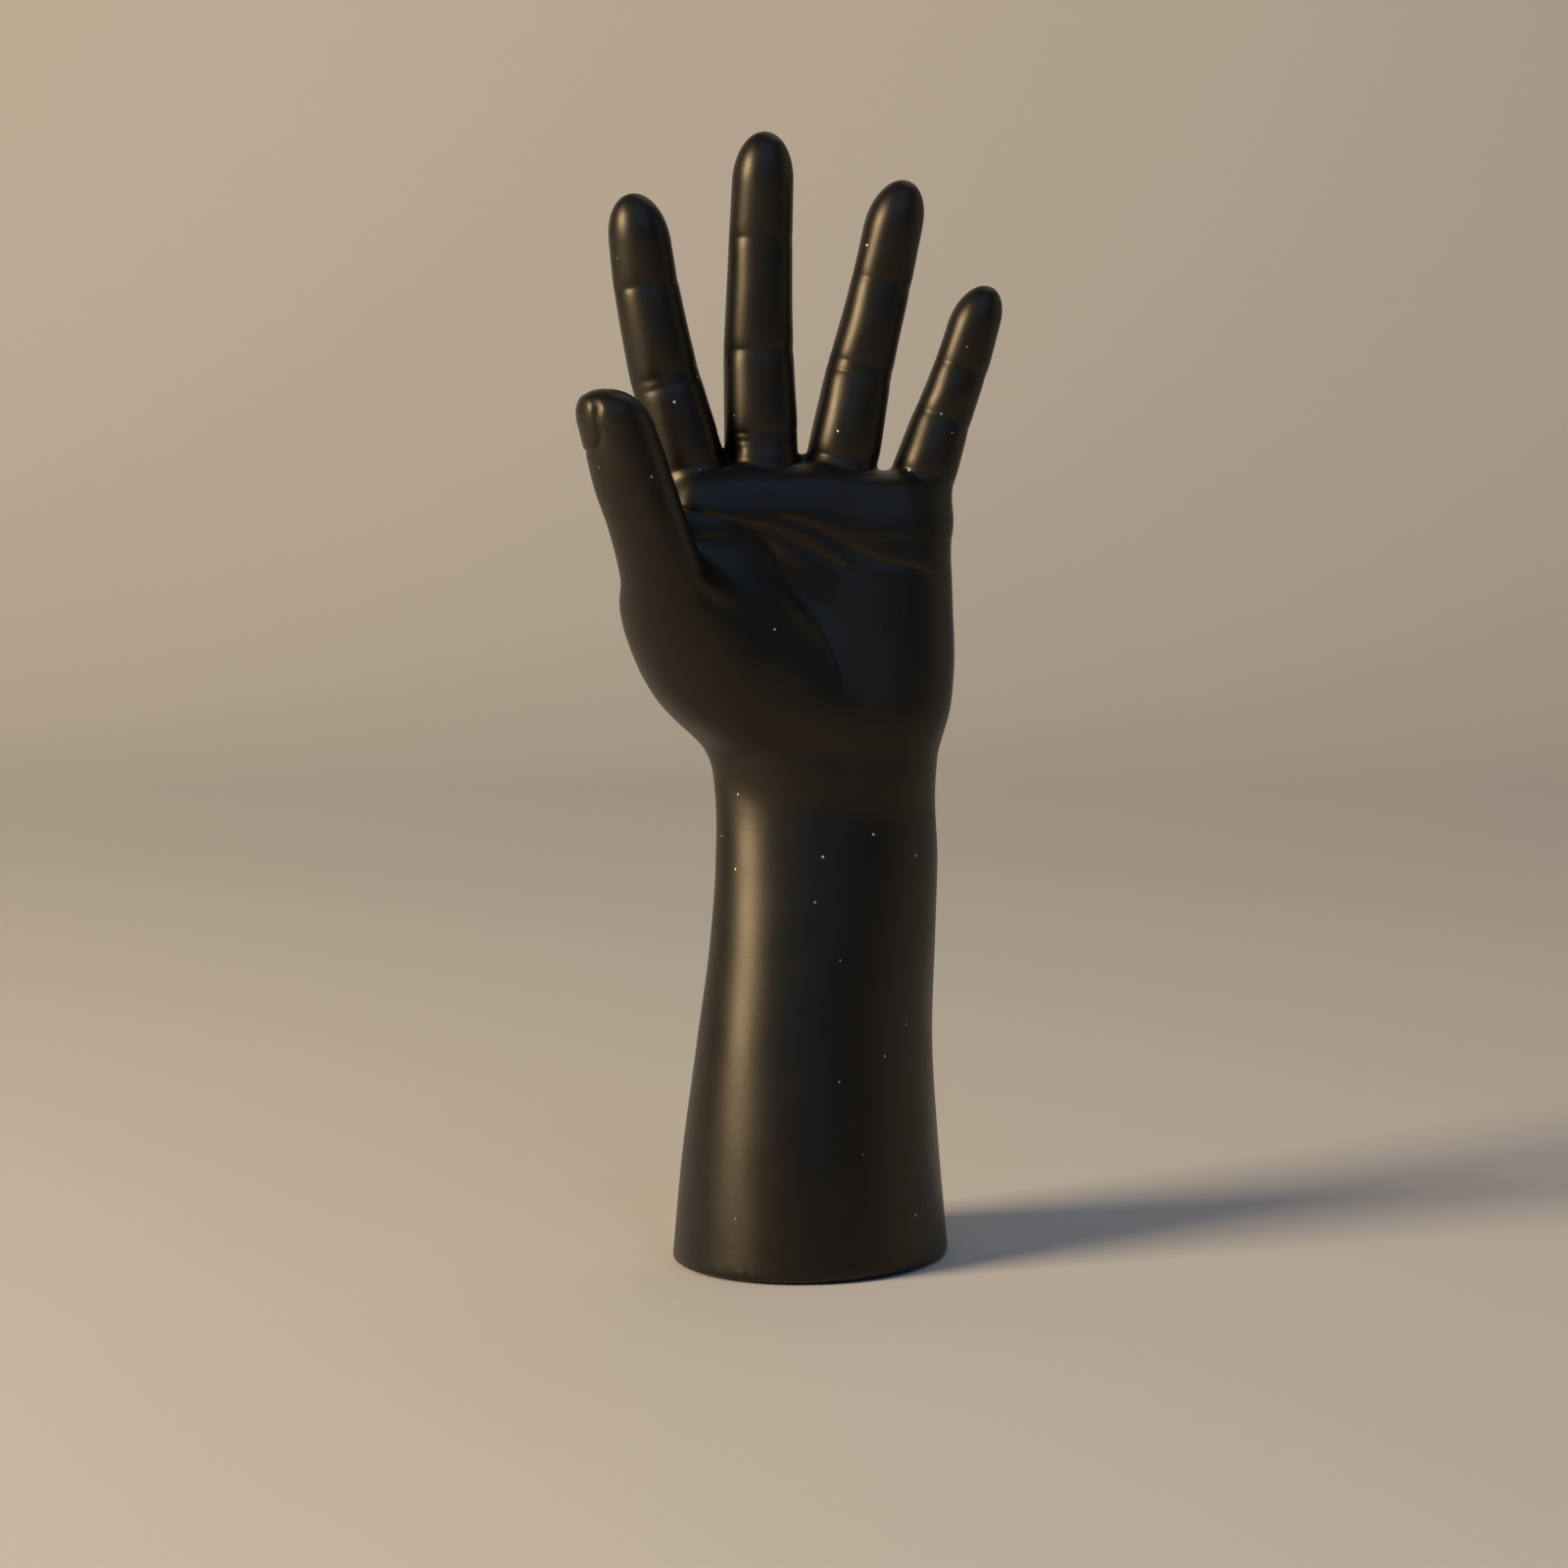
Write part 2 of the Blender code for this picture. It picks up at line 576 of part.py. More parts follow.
def thumb_rod_points(thumb):
    """Line of the thumb's rod, from the hollow through the pad to below the tip."""
    along, across, away = THUMB_ROD_TAIL
    points = [np.array((across * PALM_WIDTH, away * PALM_DEPTH, WRIST_HEIGHT + along * PALM_LENGTH))]
    heights = [WRIST_HEIGHT + share * PALM_LENGTH for share in THUMB_ROD_HEIGHTS]
    for height in (*heights, thumb.top - ROD_COVER):
        points.append(np.array((np.interp(height, thumb.rows[:, 0], thumb.rows[:, 1]),
                                np.interp(height, thumb.rows[:, 0], thumb.rows[:, 2]), height)))
    return points


def rows_between(rows, low, high, step):
    """The part of a stack between two heights, with a section exactly at each."""
    levels = np.linspace(low, high, max(2, int(round((high - low) / step)) + 1))
    columns = [np.interp(levels, rows[:, 0], rows[:, k]) for k in range(1, rows.shape[1])]
    return np.column_stack([levels, *columns])


def prism_rows(row, low, high):
    """Two equal sections that make a straight-sided slab."""
    rows = np.array([row, row])
    rows[:, 0] = (low, high)
    return rows


def build():
    """Make every piece of the hand."""
    for item in list(bpy.data.objects):
        bpy.data.objects.remove(item)
    scene = bpy.context.scene
    pieces = bpy.data.collections.new("ring_display_hand")
    guides = bpy.data.collections.new("cutters")
    scene.collection.children.link(pieces)
    scene.collection.children.link(guides)

    black = finish("satin_black_resin", (0.012, 0.012, 0.013), 0.42)
    steel = finish("drawn_steel", (0.55, 0.55, 0.54), 0.35, 1.0)
    iron = finish("cast_iron", (0.10, 0.10, 0.10), 0.65, 1.0)
    ply = finish("birch_plywood", (0.62, 0.46, 0.29), 0.60)
    felt = finish("black_felt", (0.020, 0.020, 0.021), 0.95)

    # Skin: forearm, palm, pads, fingers and thumb flowed into one body
    skin = Skin()
    shell = new_object("hand_shell", skin.mesh("hand_shell"), pieces)
    shell.data.materials.append(black)
    thin = shell.modifiers.new("thin", "DECIMATE")
    thin.ratio = KEEP

    # Flat foot, mouth for the plate, hollow and rod channels
    foot = trunk_rows()[1]
    cut(shell, turned_object("foot_cut", ((FOOT_LONG, -FOOT_LONG), (FOOT_LONG, RIM_HEIGHT)), guides))
    cut(shell, stack_object("mouth_cut", prism_rows(foot, -RIM_WALL, SHOULDER_HEIGHT), guides, RIM_WALL))
    hollow = rows_between(skin.trunk.rows, SHOULDER_HEIGHT - RIM_WALL, HOLLOW_TOP, HOLLOW_STEP)
    cut(shell, stack_object("hollow_cut", hollow, guides, WALL))
    rods = [(finger.name, rod_points(finger)) for finger in FINGERS]
    rods.append(("thumb", thumb_rod_points(skin.thumb)))
    for name, points in rods:
        cut(shell, rod_object(name + "_channel", points, ROD_DIAMETER / 2 + CLEARANCE, guides))
        rod = rod_object(name + "_wire", points, ROD_DIAMETER / 2, pieces)
        rod.data.materials.append(steel)

    # Felt and plate that close the mouth
    pad = stack_object("felt_pad", prism_rows(foot, 0.0, FELT_THICKNESS), pieces, RIM_WALL + 2 * CLEARANCE)
    pad.data.materials.append(felt)
    slab = prism_rows(foot, PLATE_BOTTOM, PLATE_TOP)
    plate = stack_object("base_plate", slab, pieces, RIM_WALL + CLEARANCE)
    plate.data.materials.append(ply)

    # Ballast with its countersunk bolt, washer and nut
    shank = BOLT_DIAMETER / 2
    head = BOLT_HEAD_DIAMETER / 2
    bore = shank + CLEARANCE
    flare = (head - shank) / BOLT_HEAD_HEIGHT
    sink = head + 2 * CLEARANCE
    through = 2 * PLATE_THICKNESS
    cut(plate, turned_object("plate_bore", ((sink + flare * CLEARANCE, PLATE_BOTTOM - CLEARANCE),
                                            (bore, PLATE_BOTTOM + (sink - bore) / flare),
                                            (bore, PLATE_TOP + through)), guides))
    corner = BALLAST_RADIUS - BALLAST_CHAMFER
    ballast = turned_object("ballast_weight", ((corner, BALLAST_BOTTOM),
                                               (BALLAST_RADIUS, BALLAST_BOTTOM + BALLAST_CHAMFER),
                                               (BALLAST_RADIUS, BALLAST_TOP - BALLAST_CHAMFER),
                                               (corner, BALLAST_TOP)), pieces, 48)
    ballast.data.materials.append(iron)
    washer = turned_object("ballast_washer", ((WASHER_DIAMETER / 2, WASHER_BOTTOM),
                                              (WASHER_DIAMETER / 2, WASHER_TOP)), pieces)
    washer.data.materials.append(steel)
    nut_radius = NUT_ACROSS / math.sqrt(3)
    nut = turned_object("ballast_nut", ((nut_radius, NUT_BOTTOM), (nut_radius, NUT_TOP)), pieces, 6)
    nut.data.materials.append(steel)
    bolt_bore = turned_object("bolt_bore", ((bore, PLATE_TOP - through),
                                            (bore, BOLT_TOP + through)), guides)
    for piece in (ballast, washer, nut):
        cut(piece, bolt_bore)
    bolt = turned_object("ballast_bolt", ((head, PLATE_BOTTOM), (shank, PLATE_BOTTOM + BOLT_HEAD_HEIGHT),
                                          (shank, BOLT_TOP - BOLT_END / 3),
                                          (shank - BOLT_END / 4, BOLT_TOP)), pieces)
    bolt.data.materials.append(steel)
    socket = SOCKET_ACROSS / math.sqrt(3)
    cut(bolt, turned_object("bolt_socket", ((socket, PLATE_BOTTOM - SOCKET_DEPTH),
                                            (socket, PLATE_BOTTOM + SOCKET_DEPTH)), guides, 6))


build()
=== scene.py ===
"""Looks of the ring display hand: its cast skin, felt foot and finishes, in a plain studio."""

import json
import logging
import math
from dataclasses import dataclass, field
from enum import Enum, IntEnum

import bpy
import numpy as np
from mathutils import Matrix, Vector

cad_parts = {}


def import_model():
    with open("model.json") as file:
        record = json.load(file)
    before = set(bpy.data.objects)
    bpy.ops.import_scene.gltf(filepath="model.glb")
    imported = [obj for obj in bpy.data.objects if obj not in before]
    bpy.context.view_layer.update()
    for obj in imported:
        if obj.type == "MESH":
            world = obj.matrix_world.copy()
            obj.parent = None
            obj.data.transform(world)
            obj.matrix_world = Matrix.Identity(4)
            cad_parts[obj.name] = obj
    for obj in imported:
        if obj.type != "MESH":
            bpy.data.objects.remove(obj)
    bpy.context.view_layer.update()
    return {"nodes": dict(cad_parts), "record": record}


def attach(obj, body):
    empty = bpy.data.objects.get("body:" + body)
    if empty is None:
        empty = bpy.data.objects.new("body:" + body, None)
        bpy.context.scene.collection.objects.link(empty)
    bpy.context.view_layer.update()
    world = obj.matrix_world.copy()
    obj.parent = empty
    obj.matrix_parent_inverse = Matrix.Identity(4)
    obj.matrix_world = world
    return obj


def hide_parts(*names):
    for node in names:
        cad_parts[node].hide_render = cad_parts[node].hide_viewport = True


LOG = logging.getLogger("ring_display_hand")
MM = 0.001
ROOT = "root"
TINY = 1e-6
# Colour inputs and output of a Mix node, by number.
MIX_FIRST, MIX_SECOND, MIX_OUT = 6, 7, 2

Points = tuple[np.ndarray, np.ndarray, np.ndarray]
Four = tuple[float, float, float, float]


class Slot(Enum):
    """Material slots of the record."""

    RESIN = "satin_black_resin"
    STEEL = "drawn_steel"
    PLY = "birch_plywood"
    IRON = "cast_iron"
    FELT = "black_felt"


class Column(IntEnum):
    """Columns of a limb's sections, in millimetres and degrees."""

    HEIGHT = 0
    MIDDLE_X = 1
    MIDDLE_Y = 2
    HALF_WIDTH = 3
    TO_PALM = 4
    TO_BACK = 5
    TURN = 6
    SQUARENESS = 7


def linear(code: str) -> tuple[float, float, float, float]:
    """Turn an sRGB hex colour into linear red, green, blue and alpha.

    Args:
        code: six hex digits.

    Returns:
        Four linear values, alpha 1.
    """
    parts = np.array([int(code[k : k + 2], 16) / 255 for k in (0, 2, 4)])
    values = np.where(parts <= 0.04045, parts / 12.92, ((parts + 0.055) / 1.055) ** 2.4)
    return (*(float(v) for v in values), 1.0)


def soft_union(a: np.ndarray, b: np.ndarray, blend: float | np.ndarray) -> np.ndarray:
    """Join two distance fields with a rounded fillet.

    The smaller distance, less a quarter of the blend times the square of how far the two are from
    differing by the whole blend.

    Args:
        a: first field.
        b: second field.
        blend: width of the fillet in millimetres, one value or one per point.

    Returns:
        The joined field.
    """
    near = np.maximum(blend - np.abs(a - b), 0.0) / blend
    return np.minimum(a, b) - near * near * blend * 0.25


def ease(low: float, high: float, value: np.ndarray) -> np.ndarray:
    """Cubic step from 0 at low to 1 at high."""
    t = np.clip((value - low) / (high - low), 0.0, 1.0)
    return t * t * (3.0 - 2.0 * t)


def cubic(keys: np.ndarray, levels: np.ndarray) -> np.ndarray:
    """Smooth rows between key rows, by a cubic through them.

    Each span is a Hermite cubic whose slopes are the central differences of the keys.

    Args:
        keys: key rows, the first column rising.
        levels: values of the first column to make rows at.

    Returns:
        One row per level.
    """
    at = keys[:, 0]
    slopes = np.gradient(keys, at, axis=0)
    low = np.clip(np.searchsorted(at, levels, side="right") - 1, 0, len(at) - 2)
    span = (at[low + 1] - at[low])[:, None]
    t = (levels - at[low])[:, None] / span
    rows = (
        (2 * t**3 - 3 * t**2 + 1) * keys[low]
        + (t**3 - 2 * t**2 + t) * span * slopes[low]
        + (3 * t**2 - 2 * t**3) * keys[low + 1]
        + (t**3 - t**2) * span * slopes[low + 1]
    )
    rows[:, 0] = levels
    return rows


def from_stretch(
    at: tuple[np.ndarray, ...], start: np.ndarray, end: np.ndarray
) -> tuple[np.ndarray, np.ndarray]:
    """Measure places against a straight stretch between two points.

    Args:
        at: coordinates of the places, as many as the points have.
        start: one end.
        end: other end.

    Returns:
        Share of the stretch passed at its nearest point, and the distance to that point.
    """
    way = end - start
    t = np.clip(sum((p - a) * w for p, a, w in zip(at, start, way)) / (way @ way), 0.0, 1.0)
    return t, np.sqrt(sum((p - a - t * w) ** 2 for p, a, w in zip(at, start, way)))


@dataclass
class Limb:
    """A solid of level oval sections carried up a path, rounded off at both ends.

    Attributes:
        keys: rows with the columns of Column.
        top: height of the upper end.
        bottom: height of the lower end.
        blunt: squareness of the end caps.
        step: spacing of the smoothed rows.
    """

    keys: tuple[tuple[float, ...], ...]
    top: float
    bottom: float
    blunt: float = 2.0
    step: float = 0.5
    rows: np.ndarray = field(init=False)

    def __post_init__(self) -> None:
        """Smooth the key rows at even levels."""
        keys = np.array(self.keys, dtype=float)
        low, high = keys[0, Column.HEIGHT], keys[-1, Column.HEIGHT]
        self.rows = cubic(keys, np.linspace(low, high, int(round((high - low) / self.step)) + 1))

    def at(self, column: Column, z: np.ndarray) -> np.ndarray:
        """One column of the sections at the given heights, held beyond the ends."""
        return np.interp(z, self.rows[:, Column.HEIGHT], self.rows[:, column])

    def depth(self, v: np.ndarray, z: np.ndarray) -> np.ndarray:
        """Half depth of the sections on the side, palm or back, that an offset lies on."""
        return np.where(v < 0, self.at(Column.TO_PALM, z), self.at(Column.TO_BACK, z))

    def beyond(self, z: np.ndarray) -> tuple[np.ndarray, np.ndarray]:
        """How far heights lie over the last section, and under the first."""
        first, last = self.rows[0, Column.HEIGHT], self.rows[-1, Column.HEIGHT]
        return np.maximum(z - last, 0.0), np.maximum(first - z, 0.0)

    def caps(self) -> tuple[float, float]:
        """Heights of the rounded ends, upper and lower."""
        first, last = self.rows[0, Column.HEIGHT], self.rows[-1, Column.HEIGHT]
        return max(self.top - last, TINY), max(first - self.bottom, TINY)

    def beside(self, at: Points) -> tuple[np.ndarray, np.ndarray]:
        """Offsets across and away from the middle line, which runs on straight past both ends.

        Args:
            at: x, y and z in millimetres.

        Returns:
            Offsets in x and in y.
        """
        x, y, z = at
        over, under = self.beyond(z)
        line = self.rows[:, : Column.MIDDLE_Y + 1]
        rise, fall = line[-1] - line[-3], line[2] - line[0]
        out = rise[1:] / rise[0]
        back = fall[1:] / fall[0]
        dx = x - (self.at(Column.MIDDLE_X, z) + out[0] * over - back[0] * under)
        dy = y - (self.at(Column.MIDDLE_Y, z) + out[1] * over - back[1] * under)
        return dx, dy

    def local(self, at: Points) -> Points:
        """Place points in the section at their height.

        Args:
            at: x, y and z in millimetres.

        Returns:
            Offset across the section, offset to the back, and how far past an end cap's start, from
            0 to 1 at its tip.
        """
        dx, dy = self.beside(at)
        turn = np.radians(self.at(Column.TURN, at[2]))
        cos, sin = np.cos(turn), np.sin(turn)
        over, under = self.beyond(at[2])
        upper, lower = self.caps()
        return dx * cos + dy * sin, dy * cos - dx * sin, over / upper + under / lower

    def distance(self, at: Points) -> np.ndarray:
        """Signed distance to the limb's surface, negative inside.

        The superellipse size of a point against its section, drawn in by the end caps, less one,
        over the length of its slope.

        Args:
            at: x, y and z in millimetres.

        Returns:
            Distance in millimetres, to first order.
        """
        z = at[2]
        u, v, past = self.local(at)
        a = self.at(Column.HALF_WIDTH, z)
        b = self.depth(v, z)
        n = self.at(Column.SQUARENESS, z)
        m = self.blunt
        pu, pv = np.abs(u) / a, np.abs(v) / b
        g = np.maximum((pu**n + pv**n) ** (1 / n), 1e-4)
        size = (g**m + past**m) ** (1 / m)
        toward = (g / size) ** (m - 1)
        across = np.hypot((pu / g) ** (n - 1) / a, (pv / g) ** (n - 1) / b)
        cap = np.where(z > self.rows[-1, Column.HEIGHT], *self.caps())
        along = (past / size) ** (m - 1) / cap
        return (size - 1.0) / np.maximum(np.hypot(toward * across, along), TINY)


@dataclass
class Pad:
    """A soft mound: an ellipsoid that is blended into the skin.

    Attributes:
        middle: its centre in millimetres.
        radii: its half sizes.
        blend: width of the fillet round it.
    """

    middle: tuple[float, float, float]
    radii: tuple[float, float, float]
    blend: float

    def distance(self, at: Points) -> np.ndarray:
        """Signed distance to the ellipsoid, its scaled radius less one over its slope.

        Args:
            at: x, y and z in millimetres.

        Returns:
            Distance in millimetres, to first order.
        """
        off = [(p - c) / r for p, c, r in zip(at, self.middle, self.radii)]
        size = np.sqrt(sum(d**2 for d in off))
        slope = np.sqrt(sum((d / r) ** 2 for d, r in zip(off, self.radii)))
        return (size - 1.0) * size / np.maximum(slope, 1e-4)


@dataclass
class Ridge:
    """A low cord under the skin, such as a tendon: a round bar between two points.

    Attributes:
        start: one end in millimetres.
        end: other end.
        radius: of the bar.
        blend: width of the fillet beside it.
    """

    start: tuple[float, float, float]
    end: tuple[float, float, float]
    radius: float = 2.4
    blend: float = 6.5

    def distance(self, at: Points) -> np.ndarray:
        """Signed distance to the bar: how far from its middle line, less its radius."""
        return from_stretch(at, np.array(self.start), np.array(self.end))[1] - self.radius


@dataclass
class PalmLine:
    """A crease drawn over the palm through points of x and z.

    Attributes:
        points: x and height of the line's points, in millimetres.
        depth: how deep it is pressed in.
        width: how fast its sides rise.
        bank: how far the flesh on its left, going along it, stands proud.
        fade: how far that bank reaches.
        soft: square of the rounding at its bottom.
        tapers: shares of its length that run out at its start and its end.
    """

    points: tuple[tuple[float, float], ...]
    depth: float
    width: float
    bank: float = 0.0
    fade: float = 9.0
    soft: float = 0.36
    tapers: tuple[float, float] = (0.12, 0.22)

    def press(self, x: np.ndarray, z: np.ndarray) -> np.ndarray:
        """Depth of the crease at x and z, falling off exponentially from the line, less its bank.

        Args:
            x: across.
            z: up.

        Returns:
            Depth in millimetres, tapered to nothing at the two ends.
        """
        count = len(self.points)
        keys = np.column_stack([np.arange(count), np.array(self.points)])
        line = cubic(keys, np.linspace(0, count - 1, 8 * count))[:, 1:]
        best = np.full(np.broadcast(x, z).shape, np.inf)
        place = np.zeros_like(best)
        left = np.zeros_like(best)
        for k, (a, b) in enumerate(zip(line[:-1], line[1:])):
            t, off = from_stretch((x, z), a, b)
            closer = off < best
            best = np.where(closer, off, best)
            place = np.where(closer, (k + t) / (len(line) - 1), place)
            turned = (b - a)[0] * (z - a[1]) - (b - a)[1] * (x - a[0])
            left = np.where(closer, turned, left)
        taper = ease(0.0, self.tapers[0], place) * ease(0.0, self.tapers[1], 1.0 - place)
        groove = self.depth * np.exp(-np.sqrt(best**2 + self.soft) / self.width)
        swell = self.bank * ease(-0.3, 0.7, np.sign(left) * best) * np.exp(-best / self.fade)
        return taper * (groove - swell)


@dataclass
class Fold:
    """A crease across a finger at one height.

    Attributes:
        height: where it crosses the finger's middle, in millimetres.
        depth: how deep it is.
        width: how fast its sides rise.
        back: whether it lies on the back of the finger.
        bow: how far its ends climb.
        soft: square of the rounding at its bottom.
    """

    height: float
    depth: float
    width: float
    back: bool = False
    bow: float = 0.0
    soft: float = 0.06


def wrinkles(*heights: float) -> tuple[Fold, ...]:
    """Shallow creases on the back of a finger: three at its middle joint, two at its end joint.

    Args:
        *heights: where the five lie, in millimetres.

    Returns:
        The creases, the outer two of the three bowed apart.
    """
    shapes = ((0.22, 0.9, 1.0), (0.26, 0.9, 0.0), (0.2, 0.9, -1.0), (0.16, 0.8, 0.0), (0.16, 0.8, 0.0))
    return tuple(Fold(h, depth, width, True, bow) for h, (depth, width, bow) in zip(heights, shapes))


@dataclass
class Nail:
    """A fingernail let into the back of a tip.

    Attributes:
        length: from fold to free edge, in millimetres.
        half_width: half its breadth.
        edge: how far its free edge stops below the tip.
        facing: direction it looks, x and y.
        proud: how far its plate stands out.
        groove: depth of the groove round it.
        corner: rounding of its corners, a share of its half width.
    """

    length: float
    half_width: float
    edge: float
    facing: tuple[float, float] = (0.05, 1.0)
    proud: float = 0.30
    groove: float = 0.38
    corner: float = 0.75

    def relief(self, limb: Limb, at: Points) -> np.ndarray:
        """How far the nail and its groove push the skin in.

        A raised rounded rectangle on the side that the nail faces, with a bell-shaped groove round it
        that runs out towards the free edge.

        Args:
            limb: the finger that it lies on.
            at: x, y and z in millimetres.

        Returns:
            Depth in millimetres, positive inwards.
        """
        dx, dy = limb.beside(at)
        size = math.hypot(*self.facing)
        fx, fy = self.facing[0] / size, self.facing[1] / size
        up = at[2] - (limb.top - self.edge - self.length / 2)
        corner = self.half_width * self.corner
        qx = np.abs(dx * -fy + dy * fx) - self.half_width + corner
        qz = np.abs(up) - self.length / 2 + corner
        round_off = np.hypot(np.maximum(qx, 0.0), np.maximum(qz, 0.0))
        rim = round_off + np.minimum(np.maximum(qx, qz), 0.0) - corner
        inner, outer, width = -0.9, 0.35, 0.75
        plate = self.proud * (1.0 - ease(inner, outer, rim))
        groove = self.groove * np.exp(-(((rim - outer) / width) ** 2))
        groove = groove * (1.0 - ease(0.2, 0.45, up / self.length))
        outward = (dx * fx + dy * fy) / limb.at(Column.HALF_WIDTH, at[2])
        return ease(0.15, 0.5, outward) * (groove - plate)


@dataclass
class Digit:
    """A finger or thumb.

    Attributes:
        limb: its solid.
        folds: the creases across it.
        nail: its nail.
    """

    limb: Limb
    folds: tuple[Fold, ...]
    nail: Nail

    def relief(self, at: Points) -> np.ndarray:
        """How far the folds and the nail push the skin in.

        A fold is an exponential groove along a line square to the finger's lean. All of it fades out
        away from the finger.

        Args:
            at: x, y and z in millimetres.

        Returns:
            Depth in millimetres, positive inwards.
        """
        limb, z = self.limb, at[2]
        u, v, _ = limb.local(at)
        across = u / limb.at(Column.HALF_WIDTH, z)
        side = v / limb.depth(v, z)
        mine = (1.0 - ease(1.15, 1.5, np.abs(across))) * (1.0 - ease(1.25, 1.6, np.abs(side)))
        total = np.zeros(np.broadcast(*at).shape)
        for fold in self.folds:
            low, high = (limb.at(Column.MIDDLE_X, fold.height + step) for step in (-4.0, 4.0))
            off = z - fold.height + (high - low) / 8.0 * u - fold.bow * across**2
            face = ease(-0.15, 0.55, side if fold.back else -side)
            total = total + face * fold.depth * np.exp(-np.sqrt(off**2 + fold.soft) / fold.width)
        return mine * (total + self.nail.relief(limb, at))


def finger(
    heights: Four, xs: Four, ys: Four, halves: Four, folds: tuple[Fold, ...], nail: Nail, dome: float
) -> Digit:
    """Make a finger from its four joint levels.

    A cubic path through the levels, with bells of flesh over the joints and sine swells for the pads
    between them.

    Args:
        heights: root, middle joint, end joint and tip, in millimetres.
        xs: middle line's x at those levels.
        ys: middle line's y at those levels.
        halves: half widths at those levels.
        folds: creases across it.
        nail: its nail.
        dome: height of its rounded tip.

    Returns:
        The finger, its joints a little thicker than the bones between and its palm side in pads.
    """
    base, middle, end, tip = heights
    sunk = 26.0
    low = base - sunk
    lean = (xs[1] - xs[0]) / (middle - base)
    path = np.array([(low, xs[0] - sunk * lean * 0.8, ys[0], halves[0]), *zip(heights, xs, ys, halves)])
    levels = np.unique(np.concatenate([np.linspace(low, tip - dome, 40), np.array(heights[:3])]))
    z, x, y, w = cubic(path, levels).T
    joints = ((middle, 0.35, 6.0), (end, 0.2, 4.5))
    knuckle = sum(lift * np.exp(-(((z - h) / spread) ** 2)) for h, lift, spread in joints)
    spans = ((base, middle, 0.35), (middle, end, 0.5), (end, tip + 4.0, 0.75))
    pads = sum(lift * np.sin(np.pi * np.clip((z - a) / (b - a), 0.0, 1.0)) ** 2 for a, b, lift in spans)
    root = 1.0 - ease(base - 22.0, base + 2.0, z)
    palm_share, palm_root = 0.90, 1.5
    back_share, back_root = 0.86, 2.5
    to_palm = w * palm_share + pads + root * palm_root
    to_back = w * back_share + 0.8 * knuckle + root * back_root
    turn = np.zeros_like(z)
    square = np.full_like(z, 2.15)
    keys = np.column_stack([z, x, y, w + knuckle * 0.5, to_palm, to_back, turn, square])
    return Digit(Limb(tuple(map(tuple, keys)), tip, low - 6.0, 2.05), folds, nail)


def forearm_and_palm() -> Limb:
    """Set out the forearm, wrist and palm.

    Returns:
        One limb whose oval turns as it rises and squares off across the palm.
    """
    return Limb(
        (
            (-13.0, 0.0, 0.0, 44.0, 38.2, 38.2, 49.0, 2.0),
            (0.0, 0.0, 0.0, 42.8, 36.8, 36.8, 48.0, 2.0),
            (30.0, 0.0, 0.0, 39.8, 33.2, 33.2, 42.0, 2.0),
            (60.0, 1.1, 0.0, 36.4, 28.9, 28.9, 34.0, 2.0),
            (90.0, 3.5, 0.0, 33.5, 25.2, 25.2, 22.0, 2.0),
            (110.0, 4.5, 0.0, 32.0, 22.4, 23.2, 12.0, 2.0),
            (128.0, 4.1, 0.0, 30.9, 19.8, 22.0, 4.0, 2.05),
            (140.0, 3.4, 0.0, 31.4, 18.8, 21.4, 0.0, 2.15),
            (155.0, 2.2, 0.0, 34.2, 16.6, 19.2, 0.0, 2.3),
            (172.0, 1.0, 0.0, 35.8, 13.2, 17.0, 0.0, 2.5),
            (186.0, 0.2, 0.0, 36.2, 12.4, 15.2, 0.0, 2.6),
            (196.0, -0.2, 0.0, 36.7, 12.6, 14.2, 0.0, 2.6),
            (205.0, 0.0, 0.0, 37.0, 13.2, 13.0, 0.0, 2.6),
            (211.0, 0.2, 0.0, 36.0, 12.4, 11.4, 0.0, 2.5),
        ),
        top=218.0,
        bottom=-30.0,
    )


def outer_heel() -> Limb:
    """Set out the heel of the hand below the little finger.

    Returns:
        The heel.
    """
    return Limb(
        (
            (139.0, 12.0, -1.0, 16.0, 15.0, 8.0, 0.0, 2.4),
            (149.0, 13.6, -1.0, 20.6, 17.8, 9.0, 0.0, 2.4),
            (163.0, 14.4, -1.0, 22.6, 17.6, 10.0, 0.0, 2.4),
            (178.0, 15.6, -1.0, 21.0, 15.6, 9.0, 0.0, 2.4),
            (192.0, 18.0, -1.0, 17.5, 12.8, 8.0, 0.0, 2.4),
            (199.0, 20.0, -1.0, 13.5, 10.4, 7.0, 0.0, 2.4),
        ),
        top=210.0,
        bottom=122.0,
    )


def thumb_heel() -> Limb:
    """Set out the heel of the hand below the thumb.

    Returns:
        The heel.
    """
    return Limb(
        (
            (142.0, -10.0, -3.0, 15.0, 15.0, 9.0, 0.0, 2.5),
            (150.0, -13.4, -3.0, 22.4, 18.8, 10.0, 0.0, 2.5),
            (160.0, -17.4, -3.5, 26.6, 19.8, 11.0, 0.0, 2.5),
            (170.0, -21.4, -4.5, 26.6, 19.0, 11.5, 0.0, 2.5),
            (180.0, -26.2, -6.5, 24.0, 16.0, 12.0, 0.0, 2.5),
            (188.0, -29.6, -7.5, 20.4, 12.8, 12.0, 0.0, 2.5),
            (194.0, -31.4, -8.2, 16.4, 9.4, 11.0, 0.0, 2.5),
            (200.0, -32.6, -8.6, 11.6, 5.6, 9.0, 0.0, 2.5),
        ),
        top=206.0,
        bottom=124.0,
    )


